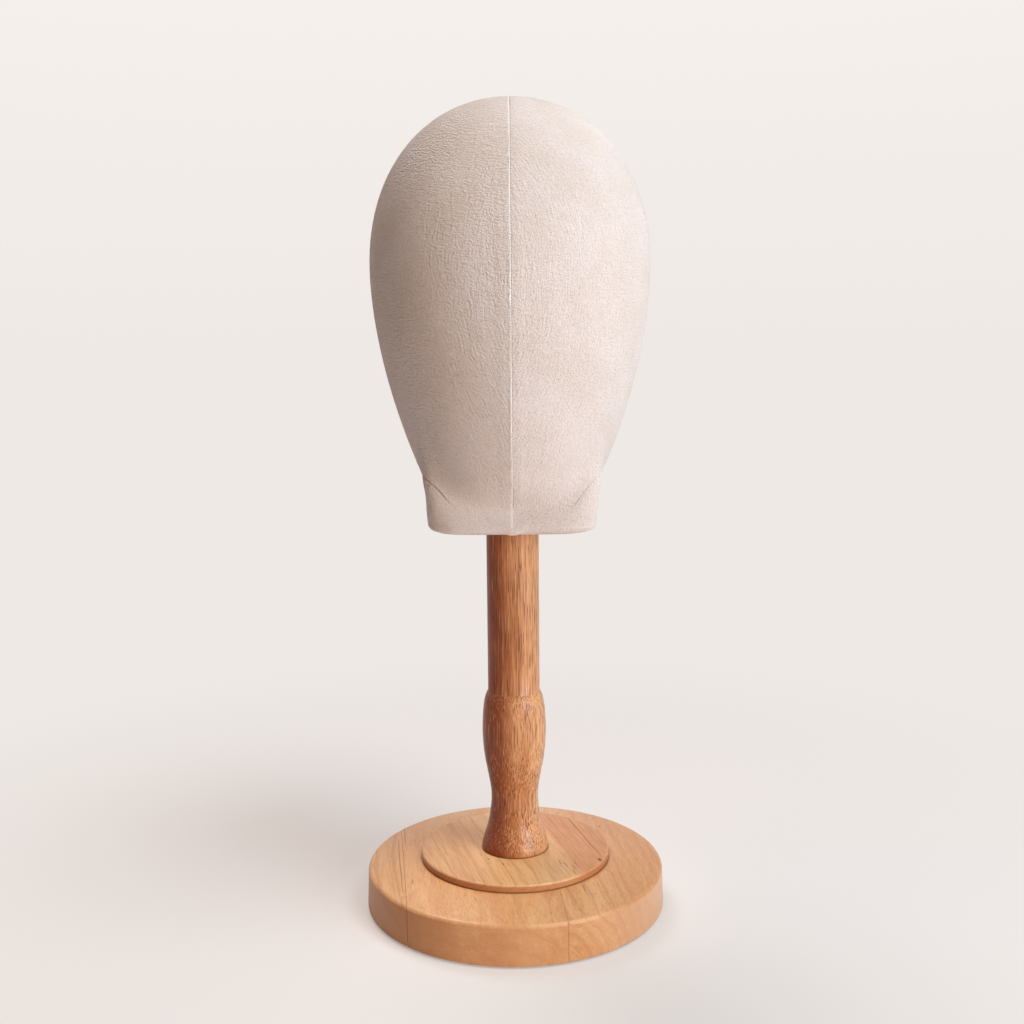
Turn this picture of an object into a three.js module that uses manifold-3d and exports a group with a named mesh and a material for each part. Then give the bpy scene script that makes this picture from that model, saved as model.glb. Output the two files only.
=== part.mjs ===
// Hat display stand: a linen-covered head form that turns on a turned wooden post, on a stepped round base.
// Millimetres, +Z up, and the front of the head looks along -Y. The origin lies under the post's axis,
// on the surface that the stand rests on.

import * as THREE from 'three';
import { mergeVertices } from 'three/addons/utils/BufferGeometryUtils.js';
import Module from 'manifold-3d';

// Base: three edge-glued boards turned to one round plate, with a raised disc on it
const PAD_THICKNESS = 1.0;
const PAD_RADIUS = 9;
const PAD_CIRCLE_RADIUS = 68;
const PAD_COUNT = 4;
const BASE_TOP_RADIUS = 90;
const BASE_BOTTOM_RADIUS = 90.8;
const RIM_TOP_Z = 24.7;
const RIM_ROUND = 2.6;
const RIM_BOTTOM_ROUND = 1.0;
const CROWN_RISE = 4.0;
const CROWN_MIDDLE_RADIUS = 73;
const CROWN_MIDDLE_BULGE = 0.25;
const DISC_RADIUS = 57.5;
const DISC_THICKNESS = 4.5;
const DISC_ROUND = 1.4;
const GRAIN_TURN = THREE.MathUtils.degToRad(6.5);
const LEFT_GLUE_LINE = -68.7;
const RIGHT_GLUE_LINE = 19.2;
const GLUE_LINE_WIDTH = 0.15;

// Bolt that holds the post on the base, with its washers and insert
const COUNTERBORE_RADIUS = 13;
const COUNTERBORE_DEPTH = 10;
const BOLT_HOLE_RADIUS = 4.5;
const BOLT_RADIUS = 3.9;
const BOLT_LENGTH = 45;
const BOLT_HEAD_RADIUS = 8;
const BOLT_HEAD_HEIGHT = 5;
const HEX_SOCKET_WIDTH = 5;
const HEX_SOCKET_DEPTH = 2.5;
const WASHER_HOLE_RADIUS = 4.2;
const FLAT_WASHER_RADIUS = 12;
const FLAT_WASHER_THICKNESS = 1.6;
const SPRING_WASHER_RADIUS = 7.4;
const SPRING_WASHER_THICKNESS = 2.0;
const SPRING_WASHER_SLIT = 1.6;
const INSERT_RADIUS = 6.0;
const INSERT_RIDGE = 0.7;
const INSERT_RIDGES = 4;
const INSERT_BORE_RADIUS = 4.1;
const INSERT_LENGTH = 20;
const INSERT_RECESS = 0.5;
const INSERT_HOLE_RADIUS = 6.2;
const PILOT_HOLE_DEPTH = 30;

// Post: radius and height above the raised disc, from the foot up to the shoulder
const POST_LENGTH = 297;
const POST_RADIUS = 15.6;
const POST_FOOT_RADIUS = 20.2;
const POST_TOP_CHAMFER = 1.5;
const FOOT_CHAMFER = 0.6;
const SHOULDER_HEIGHT = 99.6;
const POST_PROFILE = [
  [POST_FOOT_RADIUS, FOOT_CHAMFER],
  [20.1, 3.2],
  [18.7, 8.1],
  [16.3, 16.3],
  [14.8, 25.0],
  [14.25, 32.5],
  [14.7, 39.5],
  [16.4, 49.1],
  [18.2, 59.2],
  [19.2, 71.0],
  [19.15, 80.5],
  [18.45, 90.0],
  [17.3, 95.8],
  [POST_RADIUS, SHOULDER_HEIGHT],
];
const POST_PROFILE_STEPS = 20;

// Head form: heights above the resting surface, and the reach of its outline to the side, front and back.
// Above its widest height an outline is a superellipse, and below it the outline falls away by a power law.
const CROWN_Z = 477.6;
const HEM_Z = 235;
const HEM_ROUND = 3.5;
const SIDE_OUTLINE = { reach: 80.8, widest: 383.4, above: 2.13, length: 210, power: 1.765, root: 0.935 };
const FRONT_OUTLINE = { reach: 93.6, widest: 350, above: 2.2, length: 160, power: 1.8, root: 0.8 };
const BACK_OUTLINE = { reach: 93.6, widest: 398, above: 2.15, length: 172, power: 2.0, root: 0.75 };
const JAW_TOP_Z = 270;
const JAW_BOTTOM_Z = 246;
const JAW_POWER = 3;
const CHIN_SQUARE_TOP_Z = 270;
const CHIN_SQUARE_BOTTOM_Z = 254;
const CHIN_SQUARENESS = 0.3;
const NECK_END_Z = 330;
const NECK_FLARE_TOP_Z = 276;
const NECK_HALF_WIDTH = 49.3;
const NECK_FLARE = 4.2;
const NECK_FRONT_DEPTH = 49.5;
const NECK_FRONT_FLARE = 1;
const NECK_BACK_DEPTH = 49.5;
const NECK_POWER = 3;
const NECK_SQUARENESS = 6;
const NECK_SQUARE_AT_HEM = 0.25;
const NECK_SQUARE_BOTTOM_Z = 236;
const NECK_SQUARE_TOP_Z = 258;
const NECK_SQUARE_TURN = 0.4;
const NECK_SQUARE_TAPER = 0.045;
const SIDE_BLEND = 2.5;
const FRONT_BLEND = 12.5;
const BACK_BLEND = 10.5;
const SEAM_RIDGE = 1.4;
const SEAM_RIDGE_WIDTH = 14;
const SEAM_RIDGE_FADE = 6;
const NECK_RIDGE = 0.25;
const NECK_RIDGE_TOP_Z = 266;
const NECK_RIDGE_BOTTOM_Z = 250;
const CHIN_KEEL = 2.0;
const CHIN_KEEL_WIDTH = 18;
const CHIN_KEEL_TOP_Z = 340;
const CHIN_KEEL_FULL_Z = 290;

// Head pieces
const CLOTH = 1.0;
const GLUE_GAP = 0.2;
const SEAM_GAP = 0.1;
const TURNED_EDGE = 12;
const SOLE_THICKNESS = 0.8;
const SOLE_INSET = 5;
const SOLE_HOLE_RADIUS = 16.6;
const PLATE_THICKNESS = 6;
const SOCKET_BORE_RADIUS = 15.9;
const SOCKET_WALL = 2.3;
const SOCKET_CAP_THICKNESS = 6;
const BEARING_RADIUS = 14.5;
const BEARING_THICKNESS = 2.8;
const BEARING_GAP = 0.1;
const STAPLE_COUNT = 8;
const STAPLE_INSET = 7;
const STAPLE_CROWN = 9;
const STAPLE_LEG = 5.5;
const STAPLE_WIRE_WIDTH = 0.7;
const STAPLE_WIRE_THICKNESS = 0.5;
const STAPLE_SLOT_GAP = 0.15;

// Fineness of the faceted solids
const BASE_SIDES = 64;
const POST_SIDES = 28;
const SOCKET_SIDES = 28;
const SMALL_SIDES = 20;
const ROUND_STEPS = 3;
const HEAD_COLUMNS = 40;
const JAW_ROWS = 9;
const CHEEK_ROWS = 8;
const CROWN_ROWS = 6;
const JAW_ROWS_TOP_Z = 284;
const CHEEK_TOP_Z = 440;
const WELD_DISTANCE = 1e-3;
const SLOPE_STEP = 0.05;

// Heights that follow from the sizes above
const BASE_BOTTOM_Z = PAD_THICKNESS;
const BASE_TOP_Z = RIM_TOP_Z + CROWN_RISE;
const DISC_TOP_Z = BASE_TOP_Z + DISC_THICKNESS;
const COUNTERBORE_TOP_Z = BASE_BOTTOM_Z + COUNTERBORE_DEPTH;
const SPRING_WASHER_TOP_Z = COUNTERBORE_TOP_Z - FLAT_WASHER_THICKNESS;
const BOLT_HEAD_TOP_Z = SPRING_WASHER_TOP_Z - SPRING_WASHER_THICKNESS;
const POST_TOP_Z = DISC_TOP_Z + POST_LENGTH;
const PLATE_BOTTOM_Z = HEM_Z + CLOTH + GLUE_GAP;
const PLATE_TOP_Z = PLATE_BOTTOM_Z + PLATE_THICKNESS;
const SOCKET_TOP_Z = POST_TOP_Z + BEARING_THICKNESS + 2 * BEARING_GAP;
const SOCKET_RADIUS = SOCKET_BORE_RADIUS + SOCKET_WALL;

const MATERIALS = {
  wood: new THREE.MeshStandardMaterial({ color: 0xd6a478, roughness: 0.5, metalness: 0 }),
  plywood: new THREE.MeshStandardMaterial({ color: 0xd9bd92, roughness: 0.7, metalness: 0 }),
  linen: new THREE.MeshStandardMaterial({ color: 0xdccfc6, roughness: 0.95, metalness: 0 }),
  foam: new THREE.MeshStandardMaterial({ color: 0xefe9d8, roughness: 0.9, metalness: 0 }),
  plastic: new THREE.MeshStandardMaterial({ color: 0xe6e4df, roughness: 0.5, metalness: 0 }),
  felt: new THREE.MeshStandardMaterial({ color: 0x8a7763, roughness: 1, metalness: 0 }),
  steel: new THREE.MeshStandardMaterial({ color: 0xb9bcc0, roughness: 0.35, metalness: 1 }),
  brass: new THREE.MeshStandardMaterial({ color: 0xc9a650, roughness: 0.35, metalness: 1 }),
};

const wasm = await Module();
wasm.setup();

// Joining and cutting

function weld(geometry) {
  const bare = geometry.clone();
  bare.deleteAttribute('normal');
  bare.deleteAttribute('uv');
  const welded = mergeVertices(bare, WELD_DISTANCE);
  const corners = welded.index.array;
  const kept = [];
  for (let i = 0; i < corners.length; i += 3) {
    const [a, b, c] = [corners[i], corners[i + 1], corners[i + 2]];
    if (a !== b && b !== c && c !== a) {
      kept.push(a, b, c);
    }
  }
  welded.setIndex(kept);
  return welded;
}

function solidOf(geometry) {
  const welded = weld(geometry);
  return new wasm.Manifold(new wasm.Mesh({
    numProp: 3,
    vertProperties: new Float32Array(welded.attributes.position.array),
    triVerts: new Uint32Array(welded.index.array),
  }));
}

function geometryOf(solid) {
  const mesh = solid.getMesh();
  const geometry = new THREE.BufferGeometry();
  geometry.setAttribute('position', new THREE.BufferAttribute(mesh.vertProperties, 3));
  geometry.setIndex(new THREE.BufferAttribute(mesh.triVerts, 1));
  return geometry;
}

function named(name, geometry, material) {
  const mesh = new THREE.Mesh(geometry, material);
  mesh.name = name;
  return mesh;
}

// Turned shapes: an outline of [radius, height] pairs, spun about the Z axis

function turned(outline, sides) {
  const points = outline.map(([radius, height]) => new THREE.Vector2(radius, height));
  return new THREE.LatheGeometry(points, sides).rotateX(Math.PI / 2);
}

function ring(inner, outer, bottom, top, sides) {
  return turned([[inner, bottom], [outer, bottom], [outer, top], [inner, top], [inner, bottom]], sides);
}

function roundedCorner(centreRadius, centreZ, round, fromAngle, toAngle) {
  const points = [];
  for (let i = 0; i <= ROUND_STEPS; i += 1) {
    const angle = fromAngle + ((toAngle - fromAngle) * i) / ROUND_STEPS;
    points.push([centreRadius + round * Math.cos(angle), centreZ + round * Math.sin(angle)]);
  }
  return points;
}

function slab(width, depth, bottom, top) {
  return new THREE.BoxGeometry(width, depth, top - bottom).translate(0, 0, (bottom + top) / 2);
}

// Base

function basePlate() {
  const bottomRound = roundedCorner(
    BASE_BOTTOM_RADIUS - RIM_BOTTOM_ROUND, BASE_BOTTOM_Z + RIM_BOTTOM_ROUND, RIM_BOTTOM_ROUND, -Math.PI / 2, 0);
  const topRound = roundedCorner(
    BASE_TOP_RADIUS - RIM_ROUND, RIM_TOP_Z - RIM_ROUND, RIM_ROUND, 0, Math.PI / 2);
  const span = BASE_TOP_RADIUS - RIM_ROUND - DISC_RADIUS;
  const share = (BASE_TOP_RADIUS - RIM_ROUND - CROWN_MIDDLE_RADIUS) / span;
  return turned([
    [BOLT_HOLE_RADIUS, COUNTERBORE_TOP_Z],
    [COUNTERBORE_RADIUS, COUNTERBORE_TOP_Z],
    [COUNTERBORE_RADIUS, BASE_BOTTOM_Z],
    ...bottomRound,
    ...topRound,
    [CROWN_MIDDLE_RADIUS, RIM_TOP_Z + share * CROWN_RISE + CROWN_MIDDLE_BULGE],
    [DISC_RADIUS, BASE_TOP_Z],
    [BOLT_HOLE_RADIUS, BASE_TOP_Z],
    [BOLT_HOLE_RADIUS, COUNTERBORE_TOP_Z],
  ], BASE_SIDES);
}

function baseBoards() {
  const plate = solidOf(basePlate());
  const half = GLUE_LINE_WIDTH / 2;
  const edges = {
    base_board_left: [-2 * BASE_TOP_RADIUS, LEFT_GLUE_LINE - half],
    base_board_middle: [LEFT_GLUE_LINE + half, RIGHT_GLUE_LINE - half],
    base_board_right: [RIGHT_GLUE_LINE + half, 2 * BASE_TOP_RADIUS],
  };
  return Object.entries(edges).map(([name, [low, high]]) => {
    const strip = slab(high - low, 4 * BASE_TOP_RADIUS, 0, DISC_TOP_Z);
    strip.translate((low + high) / 2, 0, 0).rotateZ(GRAIN_TURN);
    return named(name, geometryOf(plate.intersect(solidOf(strip))), MATERIALS.wood);
  });
}

function raisedDisc() {
  return turned([
    [BOLT_HOLE_RADIUS, BASE_TOP_Z],
    [DISC_RADIUS, BASE_TOP_Z],
    ...roundedCorner(DISC_RADIUS - DISC_ROUND, DISC_TOP_Z - DISC_ROUND, DISC_ROUND, 0, Math.PI / 2),
    [BOLT_HOLE_RADIUS, DISC_TOP_Z],
    [BOLT_HOLE_RADIUS, BASE_TOP_Z],
  ], BASE_SIDES);
}

function footPads() {
  return Array.from({ length: PAD_COUNT }, (_, i) => {
    const disc = new THREE.CylinderGeometry(PAD_RADIUS, PAD_RADIUS, PAD_THICKNESS, SMALL_SIDES);
    const pad = named(`foot_pad_${i + 1}`, disc.rotateX(Math.PI / 2), MATERIALS.felt);
    const angle = (2 * Math.PI * (i + 0.5)) / PAD_COUNT;
    pad.position.set(PAD_CIRCLE_RADIUS * Math.cos(angle), PAD_CIRCLE_RADIUS * Math.sin(angle), PAD_THICKNESS / 2);
    return pad;
  });
}

// Bolt, washers and insert

function baseBolt() {
  const headBottom = BOLT_HEAD_TOP_Z - BOLT_HEAD_HEIGHT;
  const body = turned([
    [0, headBottom],
    [BOLT_HEAD_RADIUS, headBottom],
    [BOLT_HEAD_RADIUS, BOLT_HEAD_TOP_Z],
    [BOLT_RADIUS, BOLT_HEAD_TOP_Z],
    [BOLT_RADIUS, BOLT_HEAD_TOP_Z + BOLT_LENGTH],
    [0, BOLT_HEAD_TOP_Z + BOLT_LENGTH],
  ], SMALL_SIDES);
  const socketRadius = HEX_SOCKET_WIDTH / 2 / Math.cos(Math.PI / 6);
  const socket = new THREE.CylinderGeometry(socketRadius, socketRadius, 2 * HEX_SOCKET_DEPTH, 6);
  socket.rotateX(Math.PI / 2).translate(0, 0, headBottom);
  return geometryOf(solidOf(body).subtract(solidOf(socket)));
}

function springWasher() {
  const whole = ring(WASHER_HOLE_RADIUS, SPRING_WASHER_RADIUS, BOLT_HEAD_TOP_Z, SPRING_WASHER_TOP_Z, SMALL_SIDES);
  const slit = slab(2 * SPRING_WASHER_RADIUS, SPRING_WASHER_SLIT, 0, DISC_TOP_Z);
  slit.translate(SPRING_WASHER_RADIUS, 0, 0);
  return geometryOf(solidOf(whole).subtract(solidOf(slit)));
}

function threadedInsert() {
  const bottom = DISC_TOP_Z + INSERT_RECESS;
  const pitch = INSERT_LENGTH / INSERT_RIDGES;
  const outline = [[INSERT_BORE_RADIUS, bottom]];
  for (let i = 0; i < INSERT_RIDGES; i += 1) {
    outline.push([INSERT_RADIUS - INSERT_RIDGE, bottom + i * pitch]);
    outline.push([INSERT_RADIUS, bottom + (i + 0.75) * pitch]);
  }
  outline.push([INSERT_RADIUS - INSERT_RIDGE, bottom + INSERT_LENGTH]);
  outline.push([INSERT_BORE_RADIUS, bottom + INSERT_LENGTH], [INSERT_BORE_RADIUS, bottom]);
  return turned(outline, SMALL_SIDES);
}

// Post

function turnedPost() {
  const outlinePoints = POST_PROFILE.map(([radius, height]) => new THREE.Vector2(radius, height));
  const curve = new THREE.SplineCurve(outlinePoints);
  const side = curve.getPoints(POST_PROFILE_STEPS).map((point) => [point.x, DISC_TOP_Z + point.y]);
  const insertTop = DISC_TOP_Z + INSERT_RECESS + INSERT_LENGTH + INSERT_RECESS;
  return turned([
    [0, DISC_TOP_Z + PILOT_HOLE_DEPTH],
    [BOLT_HOLE_RADIUS, DISC_TOP_Z + PILOT_HOLE_DEPTH],
    [BOLT_HOLE_RADIUS, insertTop],
    [INSERT_HOLE_RADIUS, insertTop],
    [INSERT_HOLE_RADIUS, DISC_TOP_Z],
    [POST_FOOT_RADIUS - FOOT_CHAMFER, DISC_TOP_Z],
    ...side,
    [POST_RADIUS, POST_TOP_Z - POST_TOP_CHAMFER],
    [POST_RADIUS - POST_TOP_CHAMFER, POST_TOP_Z],
    [0, POST_TOP_Z],
  ], POST_SIDES);
}

// Head form

function clamped(value, low, high) {
  return Math.min(Math.max(value, low), high);
}

function outlineReach(outline, z) {
  if (z > outline.widest) {
    const rise = clamped((z - outline.widest) / (CROWN_Z - outline.widest), 0, 1);
    return outline.reach * (1 - rise ** outline.above) ** (1 / outline.above);
  }
  const fall = clamped((outline.widest - z) / outline.length, 0, 1);
  return outline.reach * (1 - fall ** outline.power) ** outline.root;
}

function ovalRadius(angle, halfWidth, halfDepth, power) {
  const across = Math.abs(Math.cos(angle) / halfWidth) ** power;
  const along = Math.abs(Math.sin(angle) / halfDepth) ** power;
  return (across + along) ** (-1 / power);
}

function smoothLarger(a, b, blend) {
  const share = clamped(0.5 + (0.5 * (a - b)) / blend, 0, 1);
  return b * (1 - share) + a * share + blend * share * (1 - share);
}

function jawClosing(z) {
  const drop = clamped((JAW_TOP_Z - z) / (JAW_TOP_Z - JAW_BOTTOM_Z), 0, 1);
  return (1 - drop ** JAW_POWER) ** (1 / JAW_POWER);
}

// An ellipse over most of the face, and squarer towards the chin
function facePower(z) {
  const drop = clamped((CHIN_SQUARE_TOP_Z - z) / (CHIN_SQUARE_TOP_Z - CHIN_SQUARE_BOTTOM_Z), 0, 1);
  return 2 + CHIN_SQUARENESS * THREE.MathUtils.smoothstep(drop, 0, 1);
}

function faceRadius(angle, z) {
  const closing = jawClosing(z);
  const depth = outlineReach(Math.sin(angle) < 0 ? FRONT_OUTLINE : BACK_OUTLINE, z) * closing;
  const width = outlineReach(SIDE_OUTLINE, z) * closing;
  return width > 0 && depth > 0 ? ovalRadius(angle, width, depth, facePower(z)) : 0;
}

function neckRadius(angle, z) {
  if (z > NECK_END_Z) {
    return 0;
  }
  const rise = clamped((z - HEM_Z) / (NECK_FLARE_TOP_Z - HEM_Z), 0, 1);
  const frontDepth = NECK_FRONT_DEPTH + NECK_FRONT_FLARE * rise;
  const depth = Math.sin(angle) < 0 ? frontDepth : NECK_BACK_DEPTH;
  const forward = THREE.MathUtils.smoothstep(-Math.sin(angle), 0, NECK_SQUARE_TURN);
  const growth = THREE.MathUtils.smoothstep(z, NECK_SQUARE_BOTTOM_Z, NECK_SQUARE_TOP_Z);
  const square = forward * (NECK_SQUARE_AT_HEM + (1 - NECK_SQUARE_AT_HEM) * growth);
  const halfWidth = (NECK_HALF_WIDTH + NECK_FLARE * rise) * (1 - NECK_SQUARE_TAPER * square);
  return ovalRadius(angle, halfWidth, depth, NECK_POWER + NECK_SQUARENESS * square);
}

// A low ridge under the seam, which is lowest on the neck, and a keel at the front of the chin
function seamRidge(distance, z, forward) {
  const fade = Math.sqrt(clamped((CROWN_Z - z) / SEAM_RIDGE_FADE, 0, 1));
  const aboveNeck = THREE.MathUtils.smoothstep(z, NECK_RIDGE_BOTTOM_Z, NECK_RIDGE_TOP_Z);
  const keel = 1 - THREE.MathUtils.smoothstep(z, CHIN_KEEL_FULL_Z, CHIN_KEEL_TOP_Z);
  const strength = fade * (NECK_RIDGE + (1 - NECK_RIDGE) * aboveNeck);
  const ridge = SEAM_RIDGE * Math.exp(-distance / SEAM_RIDGE_WIDTH) * strength;
  return ridge + CHIN_KEEL * Math.exp(-distance / CHIN_KEEL_WIDTH) * forward * keel * aboveNeck;
}

function headRadius(angle, z) {
  const forward = clamped(-Math.sin(angle), 0, 1);
  const backward = clamped(Math.sin(angle), 0, 1);
  const blend = SIDE_BLEND
    + (FRONT_BLEND - SIDE_BLEND) * forward ** 3
    + (BACK_BLEND - SIDE_BLEND) * backward ** 2;
  const radius = smoothLarger(faceRadius(angle, z), neckRadius(angle, z), blend);
  return radius + seamRidge(Math.abs(radius * Math.cos(angle)), z, forward);
}

function headPoint(angle, z) {
  const radius = headRadius(angle, z);
  return new THREE.Vector3(radius * Math.cos(angle), radius * Math.sin(angle), z);
}

function insetHeadPoint(angle, z, inset) {
  const point = headPoint(angle, z);
  const around = headPoint(angle + SLOPE_STEP, z).sub(headPoint(angle - SLOPE_STEP, z));
  const upward = headPoint(angle, z + SLOPE_STEP).sub(headPoint(angle, z - SLOPE_STEP));
  const outward = around.cross(upward).normalize();
  if (Math.abs(Math.cos(angle)) < SLOPE_STEP) {
    outward.setX(0).normalize();
  }
  return point.addScaledVector(outward, -inset);
}

function neckOutlineRadius(angle) {
  return headRadius(angle, HEM_Z + HEM_ROUND);
}

// Rows of points from the hem up to the row under the crown. Each row has one point for each column.
function headRows(inset) {
  const rows = [];
  const angles = Array.from({ length: HEAD_COLUMNS }, (_, i) => (2 * Math.PI * i) / HEAD_COLUMNS);
  for (let i = 0; i < ROUND_STEPS; i += 1) {
    const turn = (Math.PI / 2) * (i / ROUND_STEPS);
    const back = HEM_ROUND - (HEM_ROUND - inset) * Math.sin(turn);
    const z = HEM_Z + HEM_ROUND - (HEM_ROUND - inset) * Math.cos(turn);
    rows.push(angles.map((angle) => {
      const radius = neckOutlineRadius(angle) - back;
      return new THREE.Vector3(radius * Math.cos(angle), radius * Math.sin(angle), z);
    }));
  }
  const heights = [];
  const neckBottom = HEM_Z + HEM_ROUND;
  for (let i = 0; i < JAW_ROWS; i += 1) {
    heights.push(neckBottom + ((JAW_ROWS_TOP_Z - neckBottom) * i) / JAW_ROWS);
  }
  for (let i = 0; i < CHEEK_ROWS; i += 1) {
    heights.push(JAW_ROWS_TOP_Z + ((CHEEK_TOP_Z - JAW_ROWS_TOP_Z) * i) / CHEEK_ROWS);
  }
  for (let i = 0; i < CROWN_ROWS; i += 1) {
    heights.push(CHEEK_TOP_Z + (CROWN_Z - CHEEK_TOP_Z) * Math.sin((Math.PI / 2) * (i / CROWN_ROWS)));
  }
  heights.forEach((z) => rows.push(angles.map((angle) => insetHeadPoint(angle, z, inset))));
  return rows;
}

function headForm(inset) {
  const rows = headRows(inset);
  const points = rows.flat();
  const bottom = points.push(new THREE.Vector3(0, 0, HEM_Z + inset)) - 1;
  const top = points.push(new THREE.Vector3(0, 0, CROWN_Z - inset)) - 1;
  const corners = [];
  const lastRow = (rows.length - 1) * HEAD_COLUMNS;
  for (let i = 0; i < HEAD_COLUMNS; i += 1) {
    const next = (i + 1) % HEAD_COLUMNS;
    corners.push(bottom, next, i);
    corners.push(top, lastRow + i, lastRow + next);
    for (let row = 0; row < lastRow; row += HEAD_COLUMNS) {
      const above = row + HEAD_COLUMNS;
      corners.push(row + i, row + next, above + next);
      corners.push(row + i, above + next, above + i);
    }
  }
  const geometry = new THREE.BufferGeometry().setFromPoints(points);
  geometry.setIndex(corners);
  return geometry;
}

// Flat outline that follows the neck, drawn in by an inset, with an optional round hole
function neckShape(inset, holeRadius) {
  const shape = new THREE.Shape();
  for (let i = 0; i < HEAD_COLUMNS; i += 1) {
    const angle = (2 * Math.PI * i) / HEAD_COLUMNS;
    const radius = neckOutlineRadius(angle) - inset;
    const [x, y] = [radius * Math.cos(angle), radius * Math.sin(angle)];
    if (i === 0) {
      shape.moveTo(x, y);
    } else {
      shape.lineTo(x, y);
    }
  }
  shape.closePath();
  if (holeRadius > 0) {
    const hole = new THREE.Path();
    hole.absarc(0, 0, holeRadius, 0, 2 * Math.PI, true);
    shape.holes.push(hole);
  }
  return shape;
}

function extruded(shape, bottom, top, curveSegments) {
  const settings = { depth: top - bottom, bevelEnabled: false, curveSegments };
  return new THREE.ExtrudeGeometry(shape, settings).translate(0, 0, bottom);
}

// Staples: a flat crown under the cloth's turned edge, with two legs up into the plate

function stapleGeometry(gap) {
  const reach = STAPLE_CROWN / 2 + gap;
  const inner = STAPLE_CROWN / 2 - STAPLE_WIRE_WIDTH - gap;
  const crownTop = STAPLE_WIRE_THICKNESS + gap;
  const legTop = STAPLE_LEG + gap;
  const shape = new THREE.Shape();
  shape.moveTo(-reach, -gap);
  shape.lineTo(reach, -gap);
  shape.lineTo(reach, legTop);
  shape.lineTo(inner, legTop);
  shape.lineTo(inner, crownTop);
  shape.lineTo(-inner, crownTop);
  shape.lineTo(-inner, legTop);
  shape.lineTo(-reach, legTop);
  shape.closePath();
  const half = STAPLE_WIRE_WIDTH / 2 + gap;
  return extruded(shape, -half, half, 1).rotateX(Math.PI / 2);
}

function staplePlaces() {
  return Array.from({ length: STAPLE_COUNT }, (_, i) => {
    const angle = (2 * Math.PI * (i + 0.5)) / STAPLE_COUNT;
    const radius = neckOutlineRadius(angle) - STAPLE_INSET;
    return { angle, x: radius * Math.cos(angle), y: radius * Math.sin(angle) };
  });
}

function staples() {
  return staplePlaces().map(({ angle, x, y }, i) => {
    const staple = named(`staple_${i + 1}`, stapleGeometry(0), MATERIALS.steel);
    staple.rotation.z = angle + Math.PI / 2;
    staple.position.set(x, y, HEM_Z);
    return staple;
  });
}

function withoutStapleSlots(solid) {
  return staplePlaces().reduce((rest, { angle, x, y }) => {
    const slot = stapleGeometry(STAPLE_SLOT_GAP).rotateZ(angle + Math.PI / 2).translate(x, y, HEM_Z);
    return rest.subtract(solidOf(slot));
  }, solid);
}

// Head pieces

function coverPanels() {
  const opening = extruded(neckShape(TURNED_EDGE, 0), HEM_Z - CLOTH, PLATE_TOP_Z, 1);
  const shell = withoutStapleSlots(
    solidOf(headForm(0)).subtract(solidOf(headForm(CLOTH))).subtract(solidOf(opening)));
  const room = 2 * BASE_TOP_RADIUS;
  return Object.entries({ cover_left: -1, cover_right: 1 }).map(([name, side]) => {
    const half = slab(room, 2 * room, 0, 2 * CROWN_Z).translate((side * (room + SEAM_GAP)) / 2, 0, 0);
    return named(name, geometryOf(shell.intersect(solidOf(half))), MATERIALS.linen);
  });
}

function soleCloth() {
  return extruded(neckShape(SOLE_INSET, SOLE_HOLE_RADIUS), HEM_Z - SOLE_THICKNESS, HEM_Z, SMALL_SIDES);
}

function headCore() {
  const room = 4 * BASE_TOP_RADIUS;
  const above = slab(room, room, PLATE_TOP_Z + GLUE_GAP, 2 * CROWN_Z);
  const boreTop = SOCKET_TOP_Z + SOCKET_CAP_THICKNESS + GLUE_GAP;
  const boreRadius = SOCKET_RADIUS + GLUE_GAP;
  const bore = turned([[0, 0], [boreRadius, 0], [boreRadius, boreTop], [0, boreTop]], SOCKET_SIDES);
  return geometryOf(solidOf(headForm(CLOTH + GLUE_GAP)).intersect(solidOf(above)).subtract(solidOf(bore)));
}

function neckPlate() {
  const room = 4 * BASE_TOP_RADIUS;
  const layer = slab(room, room, HEM_Z, PLATE_TOP_Z);
  const holeRadius = SOCKET_RADIUS + GLUE_GAP;
  const hole = turned([[0, 0], [holeRadius, 0], [holeRadius, CROWN_Z], [0, CROWN_Z]], SOCKET_SIDES);
  const plate = solidOf(headForm(CLOTH + GLUE_GAP)).intersect(solidOf(layer)).subtract(solidOf(hole));
  return geometryOf(withoutStapleSlots(plate));
}

function socketCap() {
  const top = SOCKET_TOP_Z + SOCKET_CAP_THICKNESS;
  return turned([[0, SOCKET_TOP_Z], [SOCKET_RADIUS, SOCKET_TOP_Z], [SOCKET_RADIUS, top], [0, top]], SOCKET_SIDES);
}

function bearingDisc() {
  const bottom = POST_TOP_Z + BEARING_GAP;
  const top = bottom + BEARING_THICKNESS;
  return turned([[0, bottom], [BEARING_RADIUS, bottom], [BEARING_RADIUS, top], [0, top]], SMALL_SIDES);
}

// The whole object

const stand = new THREE.Group();
stand.add(
  ...footPads(),
  ...baseBoards(),
  named('raised_disc', raisedDisc(), MATERIALS.wood),
  named('base_bolt', baseBolt(), MATERIALS.steel),
  named('spring_washer', springWasher(), MATERIALS.steel),
  named('flat_washer', ring(
    WASHER_HOLE_RADIUS, FLAT_WASHER_RADIUS, SPRING_WASHER_TOP_Z, COUNTERBORE_TOP_Z, SMALL_SIDES), MATERIALS.steel),
  named('threaded_insert', threadedInsert(), MATERIALS.brass),
  named('post', turnedPost(), MATERIALS.wood),
);

const head = new THREE.Group();
head.add(
  named('head_core', headCore(), MATERIALS.foam),
  ...coverPanels(),
  named('neck_plate', neckPlate(), MATERIALS.plywood),
  named('socket_tube', ring(
    SOCKET_BORE_RADIUS, SOCKET_RADIUS, PLATE_BOTTOM_Z, SOCKET_TOP_Z, SOCKET_SIDES), MATERIALS.plastic),
  named('socket_cap', socketCap(), MATERIALS.plastic),
  ...staples(),
  named('sole_cloth', soleCloth(), MATERIALS.linen),
);

const hatStand = new THREE.Group();
hatStand.add(stand, named('bearing_disc', bearingDisc(), MATERIALS.felt), head);

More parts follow.
